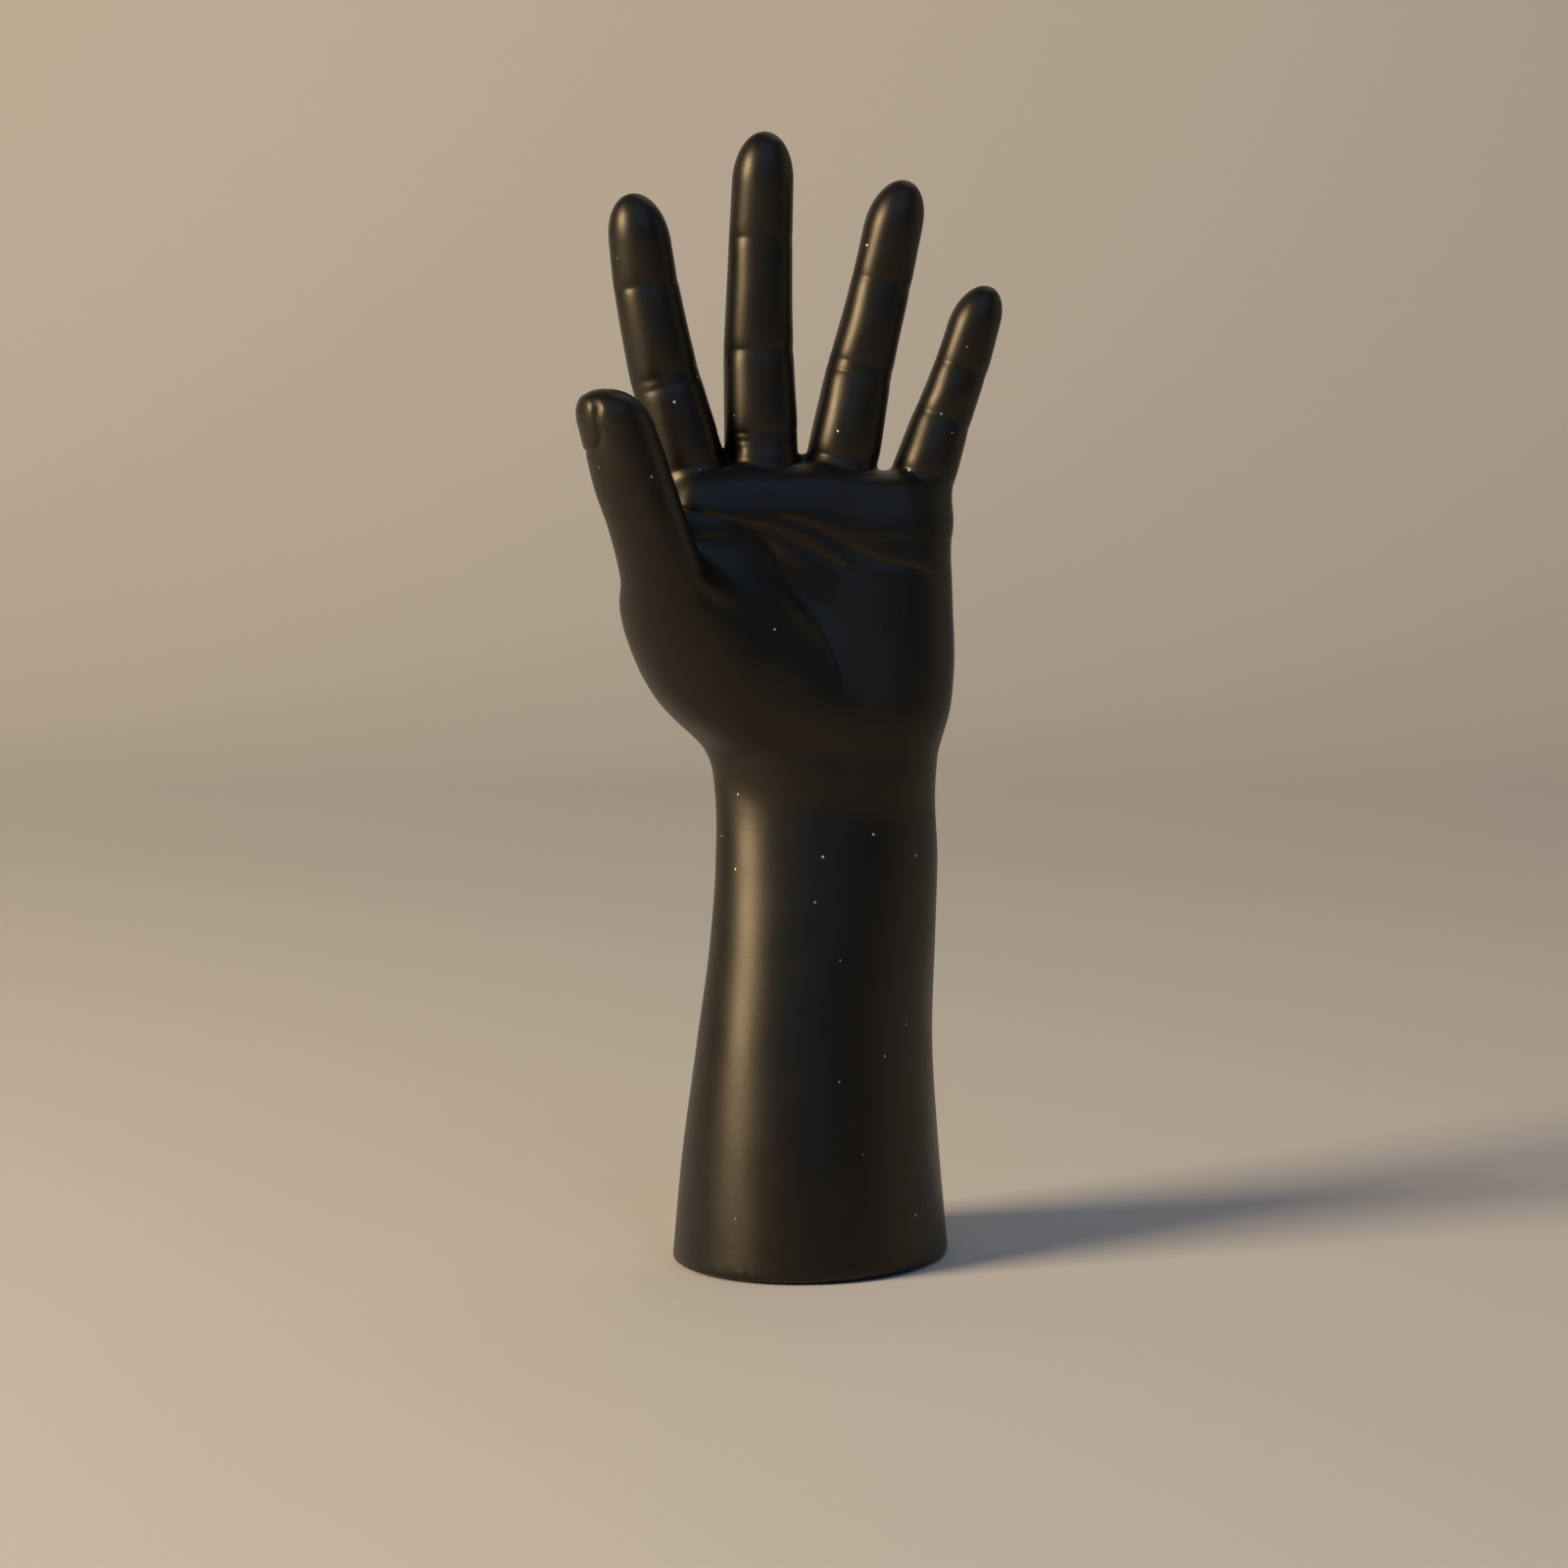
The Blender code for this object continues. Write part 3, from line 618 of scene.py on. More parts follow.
def spread_fingers() -> dict[str, Digit]:
    """Set out the four fingers.

    Returns:
        Each finger under its name.
    """
    return {
        "index": finger(
            (219.3, 242.4, 268.2, 292.4), (-33.4, -40.3, -45.9, -49.5), (0.0, 0.0, -1.0, -3.0),
            (10.2, 9.6, 8.8, 7.9),
            (
                Fold(268.2, 0.75, 1.9), Fold(243.8, 0.75, 1.7), Fold(241.2, 0.55, 1.2),
                Fold(219.8, 0.9, 1.9), *wrinkles(245.2, 242.4, 239.8, 269.4, 267.2),
            ),
            Nail(10.5, 5.6, 1.6), 13.5,
        ),
        "middle": finger(
            (226.4, 250.3, 280.7, 309.2), (-13.9, -14.6, -14.2, -13.6), (0.5, 0.5, -0.5, -2.5),
            (10.1, 9.4, 8.6, 8.1),
            (
                Fold(280.7, 0.55, 1.8), Fold(250.6, 0.75, 1.8), Fold(228.4, 0.55, 1.3),
                Fold(226.2, 0.6, 1.3), Fold(224.4, 0.4, 1.2), *wrinkles(253.2, 250.3, 247.6, 281.8, 279.6),
            ),
            Nail(11.5, 5.8, 1.6), 14.0,
        ),
        "ring": finger(
            (221.5, 244.9, 268.9, 296.5), (8.8, 13.4, 19.2, 24.6), (0.0, 0.0, -1.0, -3.0),
            (10.1, 9.1, 8.3, 7.9),
            (
                Fold(268.9, 0.5, 1.8), Fold(246.4, 0.6, 1.5), Fold(243.8, 0.6, 1.4),
                Fold(221.0, 0.9, 1.8), *wrinkles(247.7, 244.9, 242.3, 270.0, 267.8),
            ),
            Nail(10.8, 5.4, 1.6), 13.0,
        ),
        "little": finger(
            (215.4, 231.5, 244.9, 268.0), (30.8, 36.2, 41.1, 47.5), (-1.0, -1.0, -2.0, -4.0),
            (9.4, 8.3, 7.7, 6.8),
            (
                Fold(245.4, 0.5, 1.6), Fold(231.8, 0.55, 1.5), Fold(216.4, 0.8, 1.7),
                Fold(233.4, 0.2, 0.8, True), Fold(231.2, 0.22, 0.8, True), Fold(246.0, 0.14, 0.7, True),
            ),
            Nail(8.5, 4.5, 1.4), 11.0,
        ),
    }


def set_out_thumb() -> Digit:
    """Set out the thumb, which stands off towards the palm and shows its nail to the side.

    Returns:
        The thumb.
    """
    return Digit(
        Limb(
            (
                (160.0, -29.0, -5.0, 12.0, 12.0, 10.0, 0.0, 2.0),
                (172.0, -36.6, -11.0, 12.6, 12.4, 11.0, 0.0, 2.0),
                (184.0, -42.7, -17.8, 12.2, 12.3, 11.6, 0.0, 2.0),
                (194.0, -46.2, -22.6, 11.4, 12.0, 11.6, 0.0, 2.0),
                (203.6, -49.8, -26.0, 10.9, 11.6, 11.2, 0.0, 2.0),
                (214.0, -53.8, -28.4, 10.9, 11.4, 10.8, 0.0, 2.05),
                (224.0, -57.0, -30.2, 10.4, 10.9, 10.4, 0.0, 2.1),
                (230.0, -59.0, -31.2, 10.0, 10.4, 10.0, 0.0, 2.1),
            ),
            top=240.6,
            bottom=146.0,
            blunt=2.3,
        ),
        (Fold(214.0, 0.16, 2.0),),
        Nail(15.0, 6.6, 1.4, (-1.0, -0.16)),
    )


def mounds() -> tuple[Pad, ...]:
    """Set out the soft mounds of the hand.

    Returns:
        The mounds below the fingers, the knuckles, the webs, the palm's hollow and the wrist bone.
    """
    return (
        # Below the fingers.
        Pad((-19.0, -6.4, 207.0), (12.0, 6.2, 12.0), 9.0),
        Pad((1.5, -6.6, 206.0), (12.0, 6.2, 12.0), 9.0),
        Pad((21.5, -6.0, 202.5), (11.0, 6.0, 12.0), 9.0),
        Pad((-33.2, -5.4, 205.5), (7.6, 7.6, 12.0), 9.0),
        # Knuckles.
        Pad((-30.6, 6.4, 210.0), (7.6, 6.6, 9.6), 8.0),
        Pad((-13.6, 7.4, 214.0), (7.6, 6.8, 9.6), 8.0),
        Pad((7.0, 6.8, 210.0), (7.2, 6.4, 9.0), 8.0),
        Pad((26.0, 5.4, 203.0), (6.8, 6.0, 8.6), 8.0),
        # Webs.
        Pad((-24.3, 0.0, 212.4), (4.2, 4.2, 9.0), 2.4),
        Pad((-2.2, 0.0, 213.4), (4.7, 4.2, 9.0), 2.4),
        Pad((20.2, -0.6, 206.6), (4.2, 4.0, 8.8), 2.4),
        # Hollow of the palm.
        Pad((-5.0, -4.5, 189.5), (12.0, 8.6, 13.0), 5.0),
        # Wrist bone.
        Pad((24.5, 11.6, 113.0), (8.0, 6.0, 10.5), 11.0),
    )


def tendons() -> tuple[Ridge, ...]:
    """Set out the tendons on the back of the hand.

    Returns:
        One ridge from each knuckle to the wrist.
    """
    return (
        Ridge((-28.0, 9.2, 206.0), (-5.0, 12.6, 136.0)),
        Ridge((-12.2, 10.6, 210.0), (0.0, 13.4, 136.0)),
        Ridge((6.4, 10.0, 206.0), (4.5, 13.4, 136.0)),
        Ridge((23.6, 8.0, 199.0), (9.0, 12.8, 136.0)),
    )


def palm_lines() -> tuple[PalmLine, ...]:
    """Set out the creases of the palm.

    Returns:
        The line round the thumb's heel, and the two across the palm with their low banks.
    """
    round_thumb = (
        (-27.0, 202.6), (-20.5, 201.8), (-15.0, 198.4), (-11.2, 192.0), (-7.0, 184.5), (-2.8, 177.4),
        (1.6, 169.6), (4.2, 162.0), (4.2, 154.0),
    )
    lower = (
        (-42.0, 208.6), (-36.0, 207.6), (-26.0, 205.0), (-16.0, 202.0), (-8.0, 198.8), (-1.2, 195.6),
        (4.6, 192.6), (9.0, 190.0),
    )
    upper = (
        (-14.0, 206.4), (-6.1, 204.0), (1.3, 200.8), (8.8, 196.6), (16.3, 193.5), (26.4, 191.4),
        (34.5, 188.2), (41.0, 185.4),
    )
    return (
        PalmLine(round_thumb, 0.84, 1.7),
        PalmLine(lower, 1.35, 0.75, 0.25, 7.0),
        PalmLine(upper, 1.5, 0.75, 0.45, 10.0),
    )


def piece(name: str, vertices: np.ndarray, faces: np.ndarray) -> bpy.types.Object:
    """Make a smooth-shaded mesh object at the origin.

    Args:
        name: the piece's name.
        vertices: points in millimetres.
        faces: corner numbers, one row per face.

    Returns:
        The linked object, in metres.
    """
    mesh = bpy.data.meshes.new(name)
    mesh.vertices.add(len(vertices))
    mesh.vertices.foreach_set("co", (vertices * MM).astype(np.float32).ravel())
    mesh.loops.add(faces.size)
    mesh.loops.foreach_set("vertex_index", faces.astype(np.int32).ravel())
    mesh.polygons.add(len(faces))
    mesh.polygons.foreach_set("loop_start", np.arange(0, faces.size, faces.shape[1], dtype=np.int32))
    mesh.polygons.foreach_set("use_smooth", np.full(len(faces), True))
    mesh.update(calc_edges=True)
    mesh.validate()
    item = bpy.data.objects.new(name, mesh)
    bpy.context.scene.collection.objects.link(item)
    return item


def lofted(rings: np.ndarray) -> tuple[np.ndarray, np.ndarray]:
    """Skin rings of equal count, closed at both ends by a middle point.

    Args:
        rings: an array of ring, point and x y z.

    Returns:
        Vertices and triangles that face outwards for rings that rise and run anticlockwise.
    """
    count, around = rings.shape[:2]
    ends = np.stack([rings[0].mean(axis=0), rings[-1].mean(axis=0)])
    vertices = np.concatenate([rings.reshape(-1, 3), ends])
    k = np.arange(around)
    n = (k + 1) % around
    low = (np.arange(count - 1) * around)[:, None]
    a, b, c, d = low + k, low + n, low + around + n, low + around + k
    sides = np.concatenate([np.stack([a, b, c], -1).reshape(-1, 3), np.stack([a, c, d], -1).reshape(-1, 3)])
    foot = np.column_stack([n, k, np.full(around, count * around)])
    last = (count - 1) * around
    head = np.column_stack([last + k, last + n, np.full(around, count * around + 1)])
    return vertices, np.concatenate([sides, foot, head])


def section_ring(
    limb: Limb, height: float, inset: float, around: int, level: float | None = None
) -> np.ndarray:
    """One oval section of a limb, drawn in by an inset: a superellipse in its own angle.

    Args:
        limb: the limb.
        height: where the section is read.
        inset: how far it is drawn in, in millimetres.
        around: number of points.
        level: height it is placed at, if not where it was read.

    Returns:
        Points of the ring.
    """
    t = np.linspace(0.0, 2 * np.pi, around, endpoint=False)
    _, mid_x, mid_y, half, to_palm, to_back, turn, n = (float(limb.at(c, np.array(height))) for c in Column)
    c, s = np.cos(t), np.sin(t)
    depth = np.where(s < 0, to_palm, to_back) - inset
    u = (half - inset) * np.sign(c) * np.abs(c) ** (2 / n)
    v = depth * np.sign(s) * np.abs(s) ** (2 / n)
    turn = math.radians(turn)
    x = mid_x + u * math.cos(turn) - v * math.sin(turn)
    y = mid_y + u * math.sin(turn) + v * math.cos(turn)
    return np.column_stack([x, y, np.full(around, height if level is None else level)])


@dataclass
class Hollow:
    """The mouth and hollow that the casting leaves inside the forearm.

    Attributes:
        rim_wall: wall round the mouth, in millimetres.
        wall: wall of the casting above it.
        shoulder: height of the step that the plate seats against.
        top: height of the hollow's end in the palm.
        below: height where the cutter starts, under the foot.
        around: points round the hollow.
        rings: rings up it.
    """

    rim_wall: float = 3.2
    wall: float = 5.5
    shoulder: float = 8.6
    top: float = 186.0
    below: float = -6.0
    around: int = 72
    rings: int = 24

    def cut(self, item: bpy.types.Object, trunk: Limb) -> None:
        """Take the mouth and hollow out of a piece, and fix its modifiers.

        A column of rings: the mouth's straight sides, a step in, then the forearm's own sections less
        the wall.

        Args:
            item: the piece to hollow.
            trunk: the forearm and palm that the hollow follows.
        """
        mouth = (self.below, self.shoulder)
        rings = [section_ring(trunk, 0.0, self.rim_wall, self.around, level) for level in mouth]
        for height in np.linspace(self.shoulder, self.top, self.rings):
            rings.append(section_ring(trunk, float(height), self.wall, self.around))
        cutter = piece("hollow_cutter", *lofted(np.array(rings)))
        change = item.modifiers.new("hollow", "BOOLEAN")
        change.operation = "DIFFERENCE"
        change.solver = "EXACT"
        change.object = cutter
        whole = bpy.data.meshes.new_from_object(item.evaluated_get(bpy.context.evaluated_depsgraph_get()))
        item.modifiers.clear()
        old = item.data
        item.data = whole
        bpy.data.meshes.remove(old)
        bpy.data.objects.remove(cutter)


@dataclass
class HandSkin:
    """The cast skin of forearm and open hand, as one field of limbs, pads, tendons and creases.

    Attributes:
        rim: height of the foot's edge above the ground, in millimetres.
        rim_round: rounding of that edge.
        heel_fillets: fillets round the outer heel and the thumb's heel.
        web_fillets: fillet between the fingers, what it gains below their roots and on the back.
        thumb_fillets: fillet round the thumb, and what it gains at its root.
        roots: heights between which the webs take their own fillet.
        knuckles: heights between which the fillet on the back runs out.
        thumb_root: heights between which the thumb comes free.
        back_side: distances from the middle between which the back's fillet comes in.
        palm_side: distances from the middle between which the palm's lines come in.
        box: range of the working grid across, away and up.
        wrist: height where the grid starts to close up.
        pitch: spacing of the grid across.
        fine: spacing up the hand.
        coarse: spacing up the forearm.
        near: how near the skin the field is read on every grid line.
        laps: rounds of settling on the skin, and how many of them even out the vertices.
        faces: about how many faces the skin keeps before it is hollowed.
    """

    rim: float = 0.8
    rim_round: float = 1.2
    heel_fillets: tuple[float, float] = (11.0, 7.0)
    web_fillets: tuple[float, float, float] = (1.4, 4.2, 5.0)
    thumb_fillets: tuple[float, float] = (5.0, 10.0)
    roots: tuple[float, float] = (200.0, 218.0)
    knuckles: tuple[float, float] = (216.0, 232.0)
    thumb_root: tuple[float, float] = (180.0, 198.0)
    back_side: tuple[float, float] = (1.0, 7.0)
    palm_side: tuple[float, float] = (2.0, 8.0)
    box: tuple[tuple[float, float], ...] = ((-74.0, 60.0), (-48.0, 48.0), (-1.6, 313.0))
    wrist: float = 140.0
    pitch: float = 0.74
    fine: float = 0.58
    coarse: float = 1.9
    near: float = 3.0
    laps: tuple[int, int] = (7, 4)
    faces: int = 92000
    trunk: Limb = field(default_factory=forearm_and_palm)
    heels: tuple[Limb, Limb] = field(default_factory=lambda: (outer_heel(), thumb_heel()))
    fingers: dict[str, Digit] = field(default_factory=spread_fingers)
    thumb: Digit = field(default_factory=set_out_thumb)
    pads: tuple[Pad, ...] = field(default_factory=mounds)
    ridges: tuple[Ridge, ...] = field(default_factory=tendons)
    lines: tuple[PalmLine, ...] = field(default_factory=palm_lines)
    hollow: Hollow = field(default_factory=Hollow)

    def distance(self, at: Points) -> np.ndarray:
        """Signed distance to the finished skin.

        The limbs and pads joined with fillets, then pushed in by the creases, then cut flat at the foot
        with a small rounding.

        Args:
            at: x, y and z in millimetres.

        Returns:
            Distance in millimetres, negative inside.
        """
        x, y, z = at
        skin = self.trunk.distance(at)
        for ridge in self.ridges:
            skin = soft_union(skin, ridge.distance(at), ridge.blend)
        for heel, fillet in zip(self.heels, self.heel_fillets):
            skin = soft_union(skin, heel.distance(at), fillet)
        for pad in self.pads:
            skin = soft_union(skin, pad.distance(at), pad.blend)
        between, below, behind = self.web_fillets
        web = between + below * (1.0 - ease(*self.roots, z))
        web = web + behind * ease(*self.back_side, y) * (1.0 - ease(*self.knuckles, z))
        for digit in self.fingers.values():
            skin = soft_union(skin, digit.limb.distance(at), web)
        beside, root = self.thumb_fillets
        joined = beside + root * (1.0 - ease(*self.thumb_root, z))
        skin = soft_union(skin, self.thumb.limb.distance(at), joined)
        for digit in (*self.fingers.values(), self.thumb):
            skin = skin + digit.relief(at)
        on_palm = ease(*self.palm_side, -y)
        for line in self.lines:
            skin = skin + on_palm * line.press(x, z)
        return -soft_union(-skin, z - self.rim, self.rim_round)

    def levels(self) -> Points:
        """Lay out the working grid, even across, close up the hand and wide up the forearm.

        Returns:
            Grid lines across, away and up.
        """
        step = 1.0
        pitch, fine, coarse = (step * s for s in (self.pitch, self.fine, self.coarse))
        across, away, up = self.box
        low = np.arange(up[0], self.wrist, coarse)
        ramp = np.cumsum(np.linspace(coarse, fine, 9)) + low[-1]
        zs = np.concatenate([low, ramp, np.arange(ramp[-1] + fine, up[1], fine)])
        return np.arange(*across, pitch), np.arange(*away, pitch), zs

    def sample(self, lines: Points) -> np.ndarray:
        """Read the field on the grid.

        It is read on every fourth grid line, filled in linearly, and read again only where that comes
        near the skin.

        Args:
            lines: grid lines across, away and up.

        Returns:
            Field values at the grid's corners.
        """
        sparse = [np.unique(np.append(np.arange(0, len(v), 4), len(v) - 1)) for v in lines]
        x, y, z = (v[k] for v, k in zip(lines, sparse))
        grid = self.distance((x[:, None, None], y[None, :, None], z[None, None, :]))
        for axis, (v, k) in enumerate(zip(lines, sparse)):
            right = np.clip(np.searchsorted(v[k], v, side="right"), 1, len(k) - 1)
            t = ((v - v[k][right - 1]) / (v[k][right] - v[k][right - 1])).astype(np.float32)
            t = t.reshape([-1 if n == axis else 1 for n in range(3)])
            grid = np.take(grid, right - 1, axis) * (1 - t) + np.take(grid, right, axis) * t
        near = np.nonzero(np.abs(grid) < self.near)
        grid[near] = self.distance(tuple(v[k] for v, k in zip(lines, near)))
        return grid

    def surface(self) -> tuple[np.ndarray, np.ndarray]:
        """Contour the field into quads.

        One vertex goes in each cell that the skin crosses, at the mean of the crossings on the cell's
        edges, and is then slid on to the skin and evened out along it.

        Returns:
            Vertices in millimetres and quads.
        """
        lines = self.levels()
        vertices, quads = net(self.sample(lines), lines)
        ends = np.concatenate([quads[:, [k, (k + 1) % 4]] for k in range(4)])
        links = np.unique(np.sort(ends, axis=1), axis=0)
        count = len(vertices)
        share = np.bincount(links.ravel(), minlength=count)[:, None]
        laps, evening = self.laps
        for lap in range(laps):
            normal = facing(vertices, quads)
            if lap < evening:
                move = np.zeros_like(vertices)
                for axis in range(3):
                    move[:, axis] = np.bincount(links[:, 0], vertices[links[:, 1], axis], count)
                    move[:, axis] += np.bincount(links[:, 1], vertices[links[:, 0], axis], count)
                move = 0.5 * (move / share - vertices)
                vertices = vertices + move - normal * np.sum(move * normal, axis=1, keepdims=True)
            off = np.clip(self.distance(tuple(vertices.T)), -0.5, 0.5)
            vertices = vertices - off[:, None] * normal
        return vertices, quads

    def build(self) -> bpy.types.Object:
        """Make the skin piece, thinned and hollowed.

        Returns:
            The skin piece.
        """
        hand = piece("hand_skin", *self.surface())
        LOG.info("hand skin of %d quads", len(hand.data.polygons))
        thin = hand.modifiers.new("thin", "DECIMATE")
        thin.ratio = min(1.0, self.faces / len(hand.data.polygons))
        self.hollow.cut(hand, self.trunk)
        LOG.info("hollowed skin of %d faces", len(hand.data.polygons))
        return hand


def facing(vertices: np.ndarray, quads: np.ndarray) -> np.ndarray:
    """Outward direction at each vertex, the sum of the crossed diagonals of its quads.

    Args:
        vertices: points.
        quads: corner numbers.

    Returns:
        One unit vector per vertex.
    """
    corner = vertices[quads]
    across = np.cross(corner[:, 2] - corner[:, 0], corner[:, 3] - corner[:, 1])
    total = np.column_stack(
        [np.bincount(quads.ravel(), np.repeat(across[:, k], 4), len(vertices)) for k in range(3)]
    )
    return total / np.maximum(np.linalg.norm(total, axis=1, keepdims=True), 1e-9)


def net(grid: np.ndarray, lines: Points) -> tuple[np.ndarray, np.ndarray]:
    """Quads over the zero surface of a field on a grid.

    Each crossed edge of the grid gets one quad between the vertices of its four cells.

    Args:
        grid: field values at the grid's corners.
        lines: grid lines across, away and up.

    Returns:
        Vertices and outward quads.
    """
    inside = grid < 0
    cells = tuple(n - 1 for n in grid.shape)
    corners = [(i, j, k) for i in (0, 1) for j in (0, 1) for k in (0, 1)]
    count = sum(
        inside[tuple(slice(c, c + n) for c, n in zip(corner, cells))].astype(np.int8) for corner in corners
    )
    at = np.argwhere((count > 0) & (count < 8))
    index = np.full(cells, -1, dtype=np.int64)
    index[tuple(at.T)] = np.arange(len(at))
    total = np.zeros((len(at), 3))
    hits = np.zeros(len(at))
    for axis in range(3):
        for start in [c for c in corners if c[axis] == 0]:
            end = tuple(v + (1 if n == axis else 0) for n, v in enumerate(start))
            p, q = at + np.array(start), at + np.array(end)
            a, b = grid[tuple(p.T)].astype(float), grid[tuple(q.T)].astype(float)
            crossing = (a < 0) != (b < 0)
            t = np.where(crossing, a / np.where(crossing, a - b, 1.0), 0.0)
            for n in range(3):
                low, high = lines[n][p[:, n]], lines[n][q[:, n]]
                total[:, n] += np.where(crossing, low + t * (high - low), 0.0)
            hits += crossing
    vertices = total / hits[:, None]
    quads = []
    for axis in range(3):
        n, m = (axis + 1) % 3, (axis + 2) % 3
        first = [slice(None)] * 3
        second = [slice(None)] * 3
        first[axis], second[axis] = slice(None, -1), slice(1, None)
        change = inside[tuple(first)] != inside[tuple(second)]
        edge = np.argwhere(change)
        keep = (edge[:, n] > 0) & (edge[:, m] > 0) & (edge[:, n] < cells[n]) & (edge[:, m] < cells[m])
        edge = edge[keep]
        around = []
        for dn, dm in ((-1, -1), (0, -1), (0, 0), (-1, 0)):
            cell = edge.copy()
            cell[:, n] += dn
            cell[:, m] += dm
            around.append(index[tuple(cell.T)])
        quad = np.column_stack(around)
        leaving = inside[tuple(edge.T)]
        quads.append(np.where(leaving[:, None], quad, quad[:, ::-1]))
    return vertices, np.concatenate(quads)


@dataclass
class FeltFoot:
    """The die-cut felt disc that the hand stands on.

    Attributes:
        thickness: of the felt, in millimetres.
        inset: how far its edge lies inside the forearm's outline.
        edge: rounding of its cut edge.
        ragged: size of each of the cut's three waves.
        around: points round the disc.
    """

    thickness: float = 2.0
    inset: float = 3.8
    edge: float = 0.5
    ragged: float = 0.06
    around: int = 220

    def build(self, trunk: Limb) -> bpy.types.Object:
        """Make the felt disc.

        The foot's oval carried up an edge profile that is a quarter round at both faces, with a slight
        uneven cut of three sine waves.

        Args:
            trunk: the forearm whose foot it closes.

        Returns:
            The felt piece.
        """
        turn = np.linspace(0.0, np.pi / 2, 6)
        low = np.column_stack([self.edge * (1 - np.sin(turn)), self.edge * (1 - np.cos(turn))])
        high = np.column_stack([low[::-1, 0], self.thickness - low[::-1, 1]])
        t = np.linspace(0.0, 2 * np.pi, self.around, endpoint=False)
        waves = self.ragged * (np.sin(17 * t + 0.4) + np.sin(29 * t + 1.7) + np.sin(53 * t))
        cut = np.maximum(waves, 0.0)[:, None]
        middle = np.array([float(trunk.at(c, np.array(0.0))) for c in (Column.MIDDLE_X, Column.MIDDLE_Y)])
        rings = []
        for draw, level in np.concatenate([low, high]):
            ring = section_ring(trunk, 0.0, self.inset + draw, self.around, float(level))
            out = ring[:, :2] - middle
            ring[:, :2] -= out / np.linalg.norm(out, axis=1, keepdims=True) * cut
            rings.append(ring)
        return piece("felt_disc", *lofted(np.array(rings)))


def add(material: bpy.types.Material, kind: str, links: dict | None = None, **settings) -> bpy.types.Node:
    """Add a shader node with its settings, values and links.

    Args:
        material: the material to add to.
        kind: the node's type name after ShaderNode.
        links: input name or number to an output socket or a plain value.
        **settings: attributes of the node.

    Returns:
        The node.
    """
    tree = material.node_tree
    node = tree.nodes.new("ShaderNode" + kind)
    for name, value in settings.items():
        setattr(node, name, value)
    for name, value in (links or {}).items():
        if isinstance(value, bpy.types.NodeSocket):
            tree.links.new(value, node.inputs[name])
        else:
            node.inputs[name].default_value = value
    return node


@dataclass(frozen=True)
class Finish:
    """A finish, named for what the material is and how its surface was made.

    Attributes:
        name: the material's name.
    """

    name: str

    def inputs(self, m: bpy.types.Material, place: bpy.types.NodeSocket) -> dict:
        """Add the finish's own nodes; each finish has its own.

        Args:
            m: the material to add them to.
            place: the object's coordinates.

        Returns:
            Sockets and values for the shader, by input name.
        """
        raise NotImplementedError

    def make(self) -> bpy.types.Material:
        """Build the material: the finish's own nodes, then the shader that they feed.

        Returns:
            The material.
        """
        m = bpy.data.materials.new(self.name)
        m.use_nodes = True
        m.node_tree.nodes.clear()
        place = add(m, "TexCoord").outputs["Object"]
        shader = add(m, "BsdfPrincipled", self.inputs(m, place))
        add(m, "OutputMaterial", {"Surface": shader.outputs["BSDF"]})
        return m


@dataclass(frozen=True)
class SatinResin(Finish):
    """Cast polyester resin, rubbed down and sprayed with a satin black lacquer.

    It shows soft broad highlights, a faint unevenness where the coat pooled, and a few pale specks of
    lint that the coat holds.
    """

    name: str = "satin_black_lacquer_on_cast_resin"
    base: str = "060506"
    worn: str = "0c0b0a"
    sheen: str = "fff0d6"
    lint: str = "d6d1c8"
    roughness: tuple[float, float] = (0.36, 0.43)
    mottle_mm: float = 14.0
    peel_mm: float = 1.3
    lint_cell_mm: float = 9.0
    lint_mm: float = 0.42

    def inputs(self, m: bpy.types.Material, place: bpy.types.NodeSocket) -> dict:
        """Mottled tone and gloss, ragged specks and orange peel.

        Args:
            m: the material to add nodes to.
            place: the object's coordinates.

        Returns:
            Sockets and values for the shader, by input name.
        """
        mottle = add(m, "TexNoise", {"Vector": place, "Scale": 1 / (self.mottle_mm * MM), "Detail": 4.0})
        shade = mottle.outputs["Fac"]
        tones = {MIX_FIRST: linear(self.base), MIX_SECOND: linear(self.worn)}
        tone = add(m, "Mix", {"Factor": shade, **tones}, data_type="RGBA")
        speck = self.lint_mm * MM
        ragged = add(m, "TexNoise", {"Vector": place, "Scale": 1 / speck})
        bent = {0: ragged.outputs["Color"], 1: (speck, speck, speck), 2: place}
        stray = add(m, "VectorMath", bent, operation="MULTIPLY_ADD").outputs["Vector"]
        fleck = add(m, "TexVoronoi", {"Vector": stray, "Scale": 1 / (self.lint_cell_mm * MM)})
        edge = self.lint_mm / self.lint_cell_mm
        reach = {"From Min": edge, "From Max": edge * 0.5}
        dot = add(m, "MapRange", {"Value": fleck.outputs["Distance"], **reach})
        tones = {MIX_FIRST: tone.outputs[MIX_OUT], MIX_SECOND: linear(self.lint)}
        coat = add(m, "Mix", {"Factor": dot.outputs["Result"], **tones}, data_type="RGBA")
        reach = {"From Min": 0.3, "From Max": 0.7, "To Min": self.roughness[0], "To Max": self.roughness[1]}
        gloss = add(m, "MapRange", {"Value": shade, **reach})
        peel = add(m, "TexNoise", {"Vector": place, "Scale": 1 / (self.peel_mm * MM), "Detail": 2.0})
        bump = add(m, "Bump", {"Height": peel.outputs["Fac"], "Strength": 0.10, "Distance": 0.2 * MM})
        return {
            "Base Color": coat.outputs[MIX_OUT],
            "Roughness": gloss.outputs["Result"],
            "Normal": bump.outputs["Normal"],
            "IOR": 1.48,
            "Specular IOR Level": 0.46,
            "Specular Tint": linear(self.sheen),
        }


